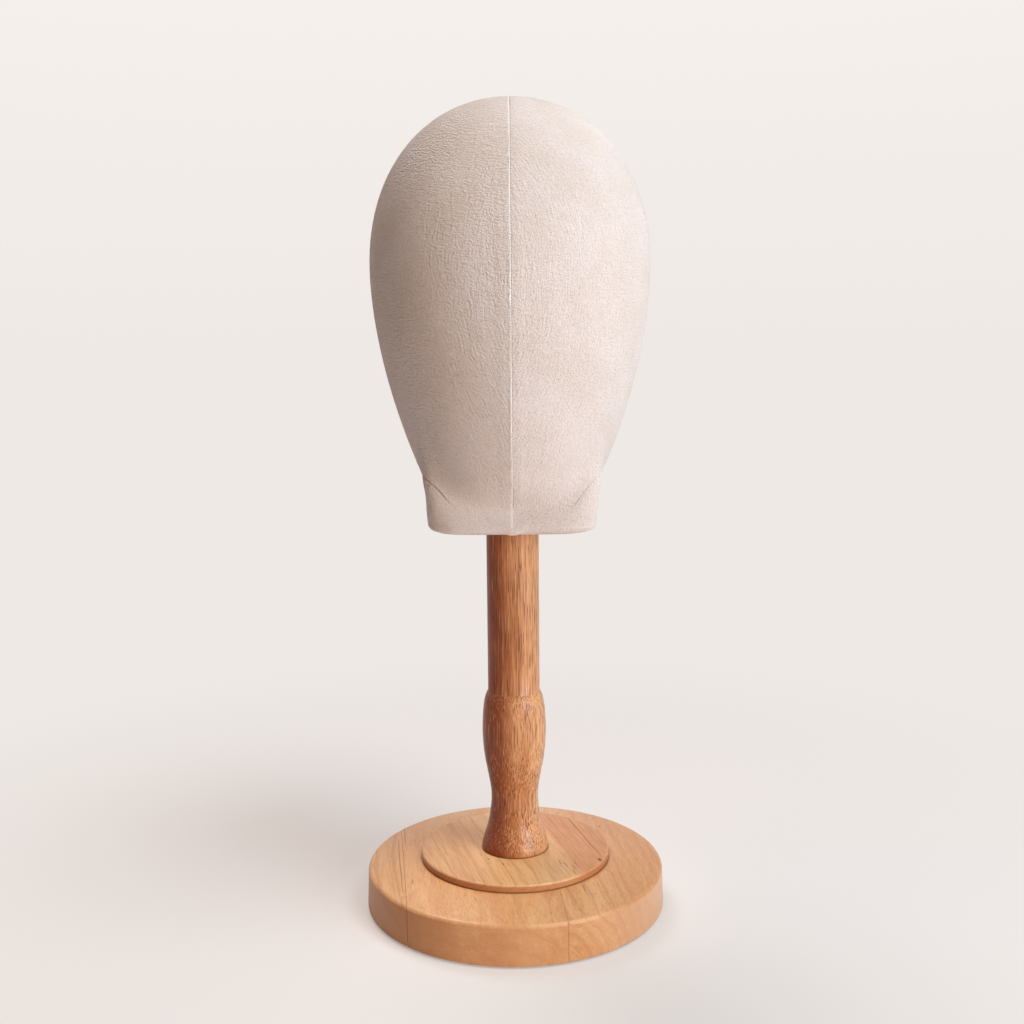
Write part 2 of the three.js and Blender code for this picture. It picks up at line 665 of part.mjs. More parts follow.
export default hatStand;
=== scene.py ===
"""Looks of the hat display stand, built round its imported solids.

Sizes are in millimetres, but in metres for the floor's shading, the lamps and the camera. The frame is
the part's own: +Z up, with the front of the head towards -Y.
"""

import math

import bmesh
import bpy
import numpy as np
from mathutils import Matrix, Vector


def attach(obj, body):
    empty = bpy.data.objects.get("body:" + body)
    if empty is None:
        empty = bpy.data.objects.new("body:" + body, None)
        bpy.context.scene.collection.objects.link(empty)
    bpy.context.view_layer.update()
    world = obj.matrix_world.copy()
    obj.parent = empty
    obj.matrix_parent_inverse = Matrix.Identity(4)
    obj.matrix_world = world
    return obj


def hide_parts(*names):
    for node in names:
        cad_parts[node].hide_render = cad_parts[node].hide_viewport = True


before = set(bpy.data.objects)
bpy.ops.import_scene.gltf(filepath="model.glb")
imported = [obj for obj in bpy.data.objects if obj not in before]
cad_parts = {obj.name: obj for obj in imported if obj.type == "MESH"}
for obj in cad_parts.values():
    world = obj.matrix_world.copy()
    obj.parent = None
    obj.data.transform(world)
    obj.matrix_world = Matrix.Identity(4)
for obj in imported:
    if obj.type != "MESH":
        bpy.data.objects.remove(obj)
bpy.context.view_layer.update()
scene = bpy.context.scene

MM = 0.001
FULL_TURN = 2 * math.pi

# Base and post
PAD_THICKNESS = 1.0
PAD_RADIUS = 9.0
PAD_CIRCLE_RADIUS = 68.0
PAD_COUNT = 4
PAD_ROUND = 0.35
BASE_TOP_RADIUS = 90.0
BASE_BOTTOM_RADIUS = 90.8
RIM_TOP_Z = 24.7
RIM_ROUND = 2.6
RIM_BOTTOM_ROUND = 1.0
CROWN_RISE = 4.0
CROWN_BULGE = 0.35
DISC_RADIUS = 57.5
DISC_THICKNESS = 4.5
DISC_ROUND = 1.4
DISC_FOOT_CHAMFER = 0.6
GRAIN_TURN = math.radians(6.5)
DISC_GRAIN_TURN = math.radians(16.3)
LEFT_GLUE_LINE = -68.7
RIGHT_GLUE_LINE = 19.2
GLUE_LINE_WIDTH = 0.15
COUNTERBORE_RADIUS = 13.0
COUNTERBORE_DEPTH = 10.0
COUNTERBORE_CHAMFER = 0.5
BOLT_HOLE_RADIUS = 4.5
POST_LENGTH = 297.0
POST_RADIUS = 15.6
POST_TOP_CHAMFER = 1.5
POST_FOOT_RADIUS = 20.2
FOOT_CHAMFER = 0.6
SHOULDER_HEIGHT = 99.6
POST_PROFILE = [(POST_FOOT_RADIUS, FOOT_CHAMFER), (20.1, 3.2), (18.7, 8.1), (16.3, 16.3), (14.8, 25.0),
                (14.25, 32.5), (14.7, 39.5), (16.4, 49.1), (18.2, 59.2), (19.2, 71.0), (19.15, 80.5),
                (18.45, 90.0), (17.3, 95.8), (POST_RADIUS, SHOULDER_HEIGHT)]
PROFILE_STEPS = 8
INSERT_HOLE_RADIUS = 6.2
INSERT_HOLE_DEPTH = 21.0
PILOT_HOLE_DEPTH = 30.0

# Bolt head and the bearing
BOLT_HEAD_RADIUS = 8.0
BOLT_HEAD_BOTTOM_Z = 2.4
BOLT_HEAD_TOP_Z = 7.4
BOLT_HEAD_CHAMFER = 0.8
BOLT_RADIUS = 3.9
BOLT_TIP_Z = 52.4
HEX_SOCKET_WIDTH = 5.0
HEX_SOCKET_DEPTH = 2.5
HEX_SOCKET_RIM = 3.3
BEARING_RADIUS = 14.5
BEARING_THICKNESS = 2.8
BEARING_GAP = 0.1
BEARING_ROUND = 0.7

# Head form
CROWN_Z = 477.6
HEM_Z = 235.0
HEM_ROUND = 3.5
SIDE_OUTLINE = {"reach": 80.8, "widest": 383.4, "above": 2.13, "length": 210, "power": 1.765, "root": 0.935}
FRONT_OUTLINE = {"reach": 93.6, "widest": 350, "above": 2.2, "length": 160, "power": 1.8, "root": 0.8}
BACK_OUTLINE = {"reach": 93.6, "widest": 398, "above": 2.15, "length": 172, "power": 2.0, "root": 0.75}
JAW_TOP_Z = 270
JAW_BOTTOM_Z = 246
JAW_POWER = 3
CHIN_SQUARE_TOP_Z = 270
CHIN_SQUARE_BOTTOM_Z = 254
CHIN_SQUARENESS = 0.3
NECK_END_Z = 330
NECK_FLARE_TOP_Z = 276
NECK_HALF_WIDTH = 49.3
NECK_FLARE = 4.2
NECK_FRONT_DEPTH = 49.5
NECK_FRONT_FLARE = 1
NECK_BACK_DEPTH = 49.5
NECK_POWER = 3.0
NECK_SQUARENESS = 6.0
NECK_SQUARE_AT_HEM = 0.25
NECK_SQUARE_BOTTOM_Z = 236
NECK_SQUARE_TOP_Z = 258
NECK_SQUARE_TURN = 0.4
NECK_SQUARE_TAPER = 0.045
SIDE_BLEND = 2.5
FRONT_BLEND = 12.5
BACK_BLEND = 10.5
SEAM_RIDGE = 1.4
SEAM_RIDGE_WIDTH = 14
SEAM_RIDGE_FADE = 6
NECK_RIDGE = 0.25
NECK_RIDGE_TOP_Z = 266
NECK_RIDGE_BOTTOM_Z = 250
CHIN_KEEL = 2.0
CHIN_KEEL_WIDTH = 18
CHIN_KEEL_TOP_Z = 340
CHIN_KEEL_FULL_Z = 290

# Cloth cover
CLOTH = 1.0
SEAM_HALF_GAP = 0.05
TURNED_EDGE = 12
SOLE_THICKNESS = 0.8
SOLE_INSET = 5
SOLE_HOLE_RADIUS = 16.6
LEVEL_ROWS_Z = 300
CHEEK_TOP_Z = 440
DART_LINE = [(-90, 249.0), (-72, 248.4), (-61, 248.8), (-56.6, 250.9), (-54.2, 253.6), (-52.0, 257.6),
             (-49.6, 261.0), (-46.4, 264.0), (-41.5, 266.9), (-30, 268.4), (-18, 269.8), (2, 272.4),
             (28, 271.0), (58, 266), (90, 263)]
DART_OFFSETS = [-2.0, -1.3, -0.8, -0.45, -0.2, 0.0, 0.2, 0.45, 0.8, 1.3, 2.0]
SEAM_DISTANCES = [0.0, 0.25, 0.62, 1.0, 1.6, 2.4, 3.6, 5.2, 6.6, 7.4, 8.2, 9.2, 10.6, 12.5]
NARROW_ROW = 60.0
ALLOWANCE_WIDTH = 6.6
ALLOWANCE_EDGE = 1.9
ALLOWANCE_HEIGHT = 0.2
ALLOWANCE_TOP_Z = 440
ALLOWANCE_FADE = 60
HEM_LUMP = 0.75
HEM_LUMP_TOP_Z = 243
HEM_LUMP_WIDTH = 3.4
SEAM_SINK = 0.32
SEAM_SINK_WIDTH = 4.0
DART_DEPTH = 0.65
DART_WIDTH = 0.42
DART_LIP = 0.22
DART_LIP_HUMP = (0.95, 0.5)
DART_SPAN = (-58, 28, 4)
JAW_WAVE = 0.55
JAW_WAVE_HOLLOW = (6.0, 4.2)
JAW_WAVE_HOLLOW_SHARE = 0.15
JAW_WAVE_SWELL = (-4.0, 5.0)
JAW_WAVE_SPAN = (-72, -20, 16)
SEAM_FOLD = [(-0.95, -0.08), (-0.6, 0.04), (-0.3, 0.14), (-0.05, 0.16), (0.1, 0.06), (0.2, -0.12),
             (0.26, -0.34)]
SEAM_FOLD_FLOOR = -0.6
NECK_FOLD = 0.06
FOLD_TOP_Z = 262
FOLD_BOTTOM_Z = 250
STITCH_SIDES = 6
SEAM_STITCH = {"pitch": 1.45, "length": 0.75, "radius": 0.24, "lift": 0.08}
RIGHT_STITCH = {"pitch": 2.1, "length": 1.0, "radius": 0.28, "lift": 0.5}
# Close-set stitches that make the left-hand dart's line of painted shade
LEFT_DART_SHADE_STITCH = {"pitch": 1.3, "length": 1.5, "radius": 0.2, "lift": 0.0}
SEAM_STITCH_COLUMN = 2
DART_STITCH_FRONT = -54.5
DART_STITCH_BACK = -33

BASE_TOP_Z = RIM_TOP_Z + CROWN_RISE
DISC_TOP_Z = BASE_TOP_Z + DISC_THICKNESS
POST_TOP_Z = DISC_TOP_Z + POST_LENGTH
NECK_BOTTOM_Z = HEM_Z + HEM_ROUND


def srgb(red, green, blue):
    """An 8-bit display colour as the linear colour that a shader takes."""

    def linear(value):
        share = value / 255
        return share / 12.92 if share <= 0.04045 else ((share + 0.055) / 1.055) ** 2.4

    return linear(red), linear(green), linear(blue), 1.0


# Shaders


class Nodes:
    """A node tree, and short calls that add nodes to it."""

    def __init__(self, tree):
        self.tree = tree

    def put(self, socket, value):
        if isinstance(value, bpy.types.NodeSocket):
            self.tree.links.new(value, socket)
        else:
            socket.default_value = value

    def node(self, kind, inputs=None, **settings):
        made = self.tree.nodes.new("ShaderNode" + kind)
        for name, value in settings.items():
            setattr(made, name, value)
        for name, value in (inputs or {}).items():
            self.put(made.inputs[name], value)
        return made

    def math(self, operation, *inputs):
        return self.node("Math", dict(enumerate(inputs)), operation=operation).outputs[0]

    def vectors(self, operation, *inputs):
        return self.node("VectorMath", dict(enumerate(inputs)), operation=operation).outputs

    def times(self, first, second, added=None):
        if added is None:
            return self.math("MULTIPLY", first, second)
        return self.math("MULTIPLY_ADD", first, second, added)

    def minus(self, first, second):
        return self.math("SUBTRACT", first, second)

    def length(self, first, second):
        squared = self.times(first, first)
        return self.math("SQRT", self.times(second, second, squared))

    def steps(self, value, low, high, start=0.0, end=1.0):
        """Rises smoothly from start to end as value goes from low to high."""
        inputs = {"Value": value, "From Min": low, "From Max": high, "To Min": start, "To Max": end}
        return self.node("MapRange", inputs, interpolation_type="SMOOTHSTEP").outputs["Result"]

    def colours(self, share, first, second, blend="MIX"):
        inputs = {0: share, 6: first, 7: second}
        return self.node("Mix", inputs, data_type="RGBA", blend_type=blend).outputs[2]

    def numbers(self, share, first, second):
        return self.node("Mix", {0: share, 2: first, 3: second}, data_type="FLOAT").outputs[0]

    def axes(self, vector):
        return self.node("SeparateXYZ", {0: vector}).outputs

    def scaled(self, vector, scale):
        return self.vectors("MULTIPLY", vector, scale)[0]

    def noise(self, vector, scale=1.0, detail=2.0, roughness=0.5):
        inputs = {"Vector": vector, "Scale": scale, "Detail": detail, "Roughness": roughness}
        return self.node("TexNoise", inputs).outputs[0]

    def in_mm(self):
        place = self.node("TexCoord").outputs["Object"]
        return self.scaled(place, (1000, 1000, 1000))


class Shader(Nodes):
    """A material and its node tree."""

    def __init__(self, name, **sockets):
        self.material = bpy.data.materials.new(name)
        self.material.use_nodes = True
        super().__init__(self.material.node_tree)
        self.surface = self.tree.nodes["Principled BSDF"]
        for socket, value in sockets.items():
            self.surface.inputs[socket.replace("_", " ")].default_value = value

    def colour(self, value):
        self.put(self.surface.inputs["Base Color"], value)

    def bump(self, height, distance_mm, strength=1.0):
        inputs = {"Height": height, "Distance": distance_mm * MM, "Strength": strength}
        self.put(self.surface.inputs["Normal"], self.node("Bump", inputs).outputs[0])


# Linen: a plain weave of uneven threads, with slubs both ways and faint slanting ripples

WARP_PITCH = 0.86
WEFT_PITCH = 0.92
WEAVE_RELIEF = 0.15
RIPPLE_RELIEF = 0.36
GRAIN_RELIEF = 0.5
SLUB_RELIEF = 0.5
SLUB_WIDTH = 1.1
SLUB_LENGTH = 6
RIPPLE_WIDTH = 0.9
RIPPLE_LENGTH = 2.1
RIPPLE_SLANT = math.radians(38)
GRAIN_SIZE = 0.95
PULL = (3.4, 3.4, 0)


def linen(name, tone, shade):
    s = Shader(name, Roughness=0.92, Diffuse_Roughness=0.4, Specular_IOR_Level=0.12, Sheen_Weight=0.04,
               Sheen_Roughness=0.5)
    place = s.in_mm()
    cloth = s.node("Attribute", attribute_name="cloth").outputs["Vector"]
    wander = s.node("TexNoise", {"Vector": place, "Scale": 0.11, "Detail": 2.0}).outputs["Color"]
    centred = s.vectors("SUBTRACT", wander, (0.5, 0.5, 0.5))[0]
    cloth = s.vectors("MULTIPLY_ADD", centred, PULL, cloth)[0]
    across, along, _ = s.axes(cloth)
    warp_wave = s.math("SINE", s.times(across, math.pi / WARP_PITCH))
    weft_wave = s.math("SINE", s.times(along, math.pi / WEFT_PITCH))
    warp_round = s.math("ABSOLUTE", warp_wave)
    weft_round = s.math("ABSOLUTE", weft_wave)
    warp_slub = s.noise(s.scaled(cloth, (1 / SLUB_WIDTH, 1 / SLUB_LENGTH, 1)), detail=1.0)
    weft_slub = s.noise(s.scaled(cloth, (1 / SLUB_LENGTH, 1 / SLUB_WIDTH, 1)), detail=1.0)
    warp_over = s.math("GREATER_THAN", s.times(warp_wave, weft_wave), 0.0)

    def thread(own, other, slub):
        height = s.times(own, s.times(other, 0.5, 0.5))
        return s.times(height, s.steps(slub, 0.3, 0.72, 0.4, 1.25))

    warp_height = thread(warp_round, weft_round, warp_slub)
    weft_height = thread(weft_round, warp_round, weft_slub)
    weave = s.numbers(warp_over, weft_height, warp_height)
    slanted = s.node("Mapping", {"Vector": cloth, "Rotation": (0, 0, RIPPLE_SLANT)}).outputs[0]
    ripple = s.noise(s.scaled(slanted, (1 / RIPPLE_LENGTH, 1 / RIPPLE_WIDTH, 1)), detail=1.5)
    grain = s.noise(place, 1 / GRAIN_SIZE, 2.0)
    height = s.times(weave, WEAVE_RELIEF)
    height = s.times(ripple, RIPPLE_RELIEF, height)
    height = s.times(grain, GRAIN_RELIEF, height)
    height = s.times(warp_slub, SLUB_RELIEF, height)
    height = s.times(weft_slub, SLUB_RELIEF, height)
    mottle = s.noise(place, 0.035, 2.0)
    tint = s.colours(s.steps(mottle, 0.3, 0.75), tone, shade)
    # Painted shade: the hollows of the weave take a darker, warmer colour.
    hollow_shade = s.colours(1.0, tint, srgb(206, 192, 182), "MULTIPLY")
    low = s.times(s.steps(grain, 0.62, 0.34), s.steps(weave, 0.8, 0.2))
    colour = s.colours(s.times(low, 0.35), tint, hollow_shade)
    slub = s.math("MAXIMUM", warp_slub, weft_slub)
    colour = s.colours(s.steps(slub, 0.66, 0.8, 0.0, 0.12), colour, srgb(246, 240, 234))
    s.colour(colour)
    s.bump(height, 1.0)
    return s.material


def grained(name, light, dark, relief, noise, stretch=(1, 1, 1), **sockets):
    """A material whose colour and relief follow one noise, given as its scale, detail and roughness."""
    s = Shader(name, **sockets)
    grain = s.noise(s.scaled(s.in_mm(), stretch), *noise)
    s.colour(s.colours(grain, light, dark))
    s.bump(grain, relief)
    return s.material


def thread_material(name, light, dark):
    return grained(name, light, dark, 0.08, (1.6, 2.0), (3.0, 3.0, 1.2), Roughness=0.75, Sheen_Weight=0.2)


def metal_material(name, light, dark, roughness):
    return grained(name, light, dark, 0.03, (1.0, 3.0), (0.4, 0.4, 6.0), Metallic=1.0, Roughness=roughness)


# Wood: growth rings round a pith line, fibres, pores along the grain, washes and single marks.
# A wash is (from, to, strength, colour) across the grain. Most washes are the wood's own tone, but on the
# post they are painted shade down one side and painted light down the other. A wash of the faces that look
# sideways is painted shade on the left part of the base's walls and on the disc's wall, and painted light
# on the right part of the base's walls. A mark is (across, along, half width, half length, strength) in the
# wood's own axes, on faces that look up. The contact radius is that of the piece that stands on top, round
# which a dark line is painted as its contact shadow.

PORE_TONE = srgb(92, 34, 4)
MARK_TONE = srgb(112, 50, 16)
# Colour of the painted contact shadow round a piece that stands on top
END_GRAIN_TONE = srgb(176, 112, 72)
CONTACT_SHADOW_TONE = srgb(96, 50, 28)


def wood(name, turn, pith, spacing, tones, pores, seed, washes=(), marks=(), upright=False,
         end_grain=0.3, ring_depth=0.25, streak=0.3, fibre_size=(0.6, 16.0), wall=None, contact_shadow_radius=0.0):
    s = Shader(name, Roughness=0.36, Specular_IOR_Level=0.3, Coat_Weight=0.14, Coat_Roughness=0.16)
    base, dark, red, pale = tones
    place = s.in_mm()
    rotation = (math.pi / 2, 0, 0) if upright else (0, 0, -turn)
    local = s.node("Mapping", {"Vector": place, "Rotation": rotation}).outputs[0]
    across, along, depth = s.axes(local)
    offset = (seed * 71.3, seed * 37.7, seed * 53.9)
    seeded = s.vectors("ADD", local, offset)[0]

    def grain(width, length, detail=2.0, roughness=0.5):
        stretched = s.scaled(seeded, (1 / width, 1 / length, 1 / width))
        return s.noise(stretched, detail=detail, roughness=roughness)

    sway = grain(34, 120)
    sway_fine = grain(7, 45, 1.0)
    from_pith = s.length(s.minus(across, pith[0]), s.minus(depth, pith[1]))
    rings = s.math("DIVIDE", from_pith, spacing)
    rings = s.times(s.minus(sway, 0.5), 1.7, rings)
    rings = s.times(s.minus(sway_fine, 0.5), 0.7, rings)
    wave = s.math("SINE", s.times(rings, FULL_TURN))
    ring_noise = {"W": s.times(rings, 0.9), "Detail": 1.0}
    ring_strength = s.node("TexNoise", ring_noise, noise_dimensions="1D").outputs[0]
    late_wood = s.times(s.steps(wave, -0.5, 1.0), s.steps(ring_strength, 0.34, 0.66))
    fibre = grain(*fibre_size, 2.0, 0.55)
    colour = s.colours(s.steps(grain(22, 90, 3.0), 0.36, 0.68), base, red)
    colour = s.colours(s.steps(grain(5, 50, 3.0), 0.45, 0.75, 0.0, 0.5), colour, pale)
    for low, high, strength, wash in washes:
        colour = s.colours(s.steps(across, low, high, 0.0, strength), colour, wash)
    colour = s.colours(s.times(late_wood, ring_depth), colour, dark)
    colour = s.colours(s.steps(fibre, 0.5, 0.68, 0.0, streak), colour, dark)
    colour = s.colours(s.steps(fibre, 0.46, 0.3, 0.0, streak), colour, pale)
    pore_width, pore_length, pore_share, pore_dark = pores
    grouping = s.minus(grain(6.5, 40, 1.0), 0.5)
    level = s.times(grouping, 0.22, grain(pore_width, pore_length, 1.0))
    pore_mask = s.steps(level, 1.0 - pore_share, 1.0 - pore_share + 0.07)
    colour = s.colours(s.times(pore_mask, pore_dark), colour, PORE_TONE)
    facing = s.node("TexCoord").outputs["Normal"]
    upwards = s.axes(facing)[2]
    total = 0.0
    for mark_across, mark_along, half_width, half_length, strength in marks:
        wobble = s.times(s.minus(sway_fine, 0.5), 2.2, across)
        u = s.math("DIVIDE", s.minus(wobble, mark_across), half_width)
        v = s.math("DIVIDE", s.minus(along, mark_along), half_length)
        reach = s.times(u, u, s.math("POWER", s.math("ABSOLUTE", v), 4.0))
        total = s.math("MAXIMUM", total, s.steps(reach, 0.2, 1.3, strength, 0.0))
    if marks:
        total = s.times(total, s.steps(upwards, 0.4, 0.9))
        colour = s.colours(total, colour, MARK_TONE)
    if end_grain:
        fibres_run = (-math.sin(turn), math.cos(turn), 0)
        end = s.vectors("DOT_PRODUCT", facing, fibres_run)["Value"]
        end = s.times(end, end)
        colour = s.colours(s.times(end, end_grain), colour, END_GRAIN_TONE)
    # Painted light and shade on the faces that look sideways: a darker colour is painted shade, a lighter
    # one painted light
    if wall:
        low, high, strength, wash = wall
        sideways = s.steps(upwards, 0.6, 0.1)
        sideways = s.times(sideways, s.steps(across, low, high, 0.0, strength))
        colour = s.colours(sideways, colour, wash)
    # Painted contact shadow: a dark line on the faces that look up, round the piece that stands on top
    if contact_shadow_radius:
        x, y, _ = s.axes(place)
        beside = s.math("ABSOLUTE", s.minus(s.length(x, y), contact_shadow_radius))
        line = s.steps(beside, 1.1, 0.2, 0.0, 0.6)
        line = s.times(line, s.steps(upwards, 0.4, 0.9))
        colour = s.colours(line, colour, CONTACT_SHADOW_TONE)
    s.colour(colour)
    s.bump(s.times(pore_mask, -1.0, s.times(fibre, 0.35)), 0.08, 0.6)
    return s.material


PLY_PITCH = 2.4


def plywood_material():
    s = Shader("birch_plywood", Roughness=0.6)
    place = s.in_mm()
    layer = s.math("SINE", s.times(s.axes(place)[2], FULL_TURN / PLY_PITCH))
    grain = s.noise(s.scaled(place, (0.9, 0.06, 0.9)), 1.0, 3.0)
    colour = s.colours(grain, srgb(220, 192, 150), srgb(196, 162, 118))
    s.colour(s.colours(s.steps(layer, -0.2, 0.4, 0.0, 0.35), colour, srgb(150, 112, 74)))
    s.bump(grain, 0.1)
    return s.material


# Meshes


def placed(name, data):
    made = bpy.data.objects.new(name, data)
    scene.collection.objects.link(made)
    return made


def dressed(made, body, solid=None):
    """Gives a piece its body, and hides the solid it takes the place of."""
    if solid:
        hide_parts(solid)
    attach(made, body)


def mesh_object(name, points_mm, faces, material, smooth_angle=None):
    mesh = bpy.data.meshes.new(name)
    mesh.from_pydata((np.asarray(points_mm) * MM).tolist(), [], faces)
    mesh.validate()
    mesh.materials.append(material)
    if smooth_angle is None:
        mesh.shade_smooth()
    else:
        mesh.set_sharp_from_angle(angle=math.radians(smooth_angle))
    return placed(name, mesh)


def point_values(made, name, values):
    attribute = made.data.attributes.new(name, "FLOAT_VECTOR", "POINT")
    attribute.data.foreach_set("vector", np.asarray(values, np.float32).ravel())


def turned(rows, sides):
    """Points and faces of an outline of (radius, height) turned about Z. A radius may be one value for
    each side. An outline that doesn't start and end on the axis closes on itself."""
    angles = np.arange(sides) * FULL_TURN / sides
    points = []
    rings = []
    for radius, height in rows:
        if np.isscalar(radius) and radius == 0:
            rings.append([len(points)] * sides)
            points.append((0.0, 0.0, height))
        else:
            rings.append(list(range(len(points), len(points) + sides)))
            reach = radius * np.ones(sides)
            points.extend(zip(reach * np.cos(angles), reach * np.sin(angles), [height] * sides))
    closed = not (rings[0][0] == rings[0][1] and rings[-1][0] == rings[-1][1])
    faces = []
    for i in range(len(rings) if closed else len(rings) - 1):
        low, high = rings[i], rings[(i + 1) % len(rings)]
        for j in range(sides):
            k = (j + 1) % sides
            face = [low[j], low[k], high[k], high[j]]
            faces.append([v for n, v in enumerate(face) if v not in face[:n]])
    return points, faces


def corner(centre_radius, centre_z, round_mm, start, end, steps=6):
    """An arc of an outline, with its angles in degrees."""
    found = []
    for i in range(steps + 1):
        angle = math.radians(start + (end - start) * i / steps)
        found.append((centre_radius + round_mm * math.cos(angle), centre_z + round_mm * math.sin(angle)))
    return found


def turned_piece(solid, rows, sides, material, smooth_angle, body):
    points, faces = turned(rows, sides)
    made = mesh_object(solid + "_fine", points, faces, material, smooth_angle)
    dressed(made, body, solid)
    return made


def spline(points, steps):
    """A uniform Catmull-Rom curve through the points."""
    p = np.array(points, float)
    p = np.vstack([p[:1], p, p[-1:]])
    found = []
    for i in range(1, len(p) - 2):
        for k in range(steps):
            t = k / steps
            found.append(0.5 * (2 * p[i] + (p[i + 1] - p[i - 1]) * t
                                + (2 * p[i - 1] - 5 * p[i] + 4 * p[i + 1] - p[i + 2]) * t ** 2
                                + (3 * p[i] - p[i - 1] - 3 * p[i + 1] + p[i + 2]) * t ** 3))
    found.append(p[-2])
    return found


# Base

BASE_SIDES = 256
WOOD_SMOOTH_ANGLE = 35
RIM_ROUND_END = 78
RIM_ROUND_STEPS = 9
CROWN_STEPS = 12
CUT_TOLERANCE_M = 1e-7


def base_outline():
    z = PAD_THICKNESS
    top = z + COUNTERBORE_DEPTH
    rows = [
        (BOLT_HOLE_RADIUS, top),
        (COUNTERBORE_RADIUS, top),
        (COUNTERBORE_RADIUS, z + COUNTERBORE_CHAMFER),
        (COUNTERBORE_RADIUS + COUNTERBORE_CHAMFER, z),
    ]
    rows += corner(BASE_BOTTOM_RADIUS - RIM_BOTTOM_ROUND, z + RIM_BOTTOM_ROUND, RIM_BOTTOM_ROUND, -90, 0)
    rim = (BASE_TOP_RADIUS - RIM_ROUND, RIM_TOP_Z - RIM_ROUND)
    rows += corner(*rim, RIM_ROUND, 0, RIM_ROUND_END, RIM_ROUND_STEPS)
    start_radius, start_z = rows[-1]
    for i in range(1, CROWN_STEPS + 1):
        share = i / CROWN_STEPS
        bulge = CROWN_BULGE * math.sin(math.pi * share)
        radius = start_radius + (DISC_RADIUS - start_radius) * share
        rows.append((radius, start_z + (BASE_TOP_Z - start_z) * share + bulge))
    rows.append((BOLT_HOLE_RADIUS, BASE_TOP_Z))
    return rows


def base_board(name, low, high, material):
    """The part of the turned base between two glue lines."""
    points, faces = turned(base_outline(), BASE_SIDES)
    bm = bmesh.new()
    corners = [bm.verts.new(Vector(p) * MM) for p in points]
    for face in faces:
        bm.faces.new([corners[i] for i in face])
    normal = Vector((math.cos(GRAIN_TURN), math.sin(GRAIN_TURN), 0))
    for position, side in ((low, -1), (high, 1)):
        if position is None:
            continue
        cut = bmesh.ops.bisect_plane(
            bm, geom=bm.verts[:] + bm.edges[:] + bm.faces[:], dist=CUT_TOLERANCE_M,
            plane_co=normal * (position - side * GLUE_LINE_WIDTH / 2) * MM, plane_no=normal * side,
            clear_outer=True)
        edges = [e for e in cut["geom_cut"] if isinstance(e, bmesh.types.BMEdge)]
        bmesh.ops.holes_fill(bm, edges=edges, sides=0)
    bmesh.ops.recalc_face_normals(bm, faces=bm.faces[:])
    mesh = bpy.data.meshes.new(name)
    bm.to_mesh(mesh)
    bm.free()
    mesh.materials.append(material)
    mesh.set_sharp_from_angle(angle=math.radians(WOOD_SMOOTH_ANGLE))
    return placed(name, mesh)


WOOD_DARK = srgb(176, 112, 66)
WOOD_PALE = srgb(234, 186, 134)
BOARD_TONES = (srgb(224, 166, 112), WOOD_DARK, srgb(216, 152, 100), WOOD_PALE)
LEFT_TONES = (srgb(226, 169, 116), WOOD_DARK, srgb(217, 157, 104), WOOD_PALE)
# Painted shade on the side faces of the left part of the base
SIDE_SHADE_TONE = srgb(182, 120, 70)
BOARD_PORES = (0.45, 6.0, 0.34, 0.35)


def base_piece(side, low, high, pith, spacing, tones, seed, **looks):
    material = wood("board_wood_" + side, GRAIN_TURN, pith, spacing, tones, BOARD_PORES, seed,
                    contact_shadow_radius=DISC_RADIUS, **looks)
    solid = "base_board_" + side
    dressed(base_board(solid + "_fine", low, high, material), "stand", solid)


# Side faces: painted shade on the left-hand walls of the left and middle boards, painted light on the
# right-hand walls of the right board. The dark ring round the disc is a painted contact shadow.
base_piece(
    "left", None, LEFT_GLUE_LINE, (-30, 60), 9.0, LEFT_TONES, 1, ring_depth=0.55,
    marks=[(-77.4, 50.9, 2.2, 9, 0.4), (-70.8, -2, 0.4, 42, 0.55)], wall=(0, -1, 0.8, SIDE_SHADE_TONE))
base_piece(
    "middle", LEFT_GLUE_LINE, RIGHT_GLUE_LINE, (-52, -62), 12.0, BOARD_TONES, 2, ring_depth=0.2,
    washes=[(-66, -78, 0.3, LEFT_TONES[2])],
    marks=[(-66.8, 45, 0.5, 22, 0.6), (-64.7, -30.3, 0.5, 3, 0.5)], wall=(-30, -72, 0.8, SIDE_SHADE_TONE))
base_piece(
    "right", RIGHT_GLUE_LINE, None, (6, -4), 6.0, BOARD_TONES, 3, ring_depth=0.4,
    washes=[(34, 64, 0.6, srgb(192, 128, 82))], wall=(25, 75, 0.35, srgb(224, 184, 150)),
    marks=[(33.5, -40.7, 0.5, 4, 0.5), (34.1, -54.4, 0.5, 4, 0.5), (60.0, 37.2, 0.8, 1.3, 0.9),
           (56.3, 27.6, 1.0, 1.5, 0.9)])

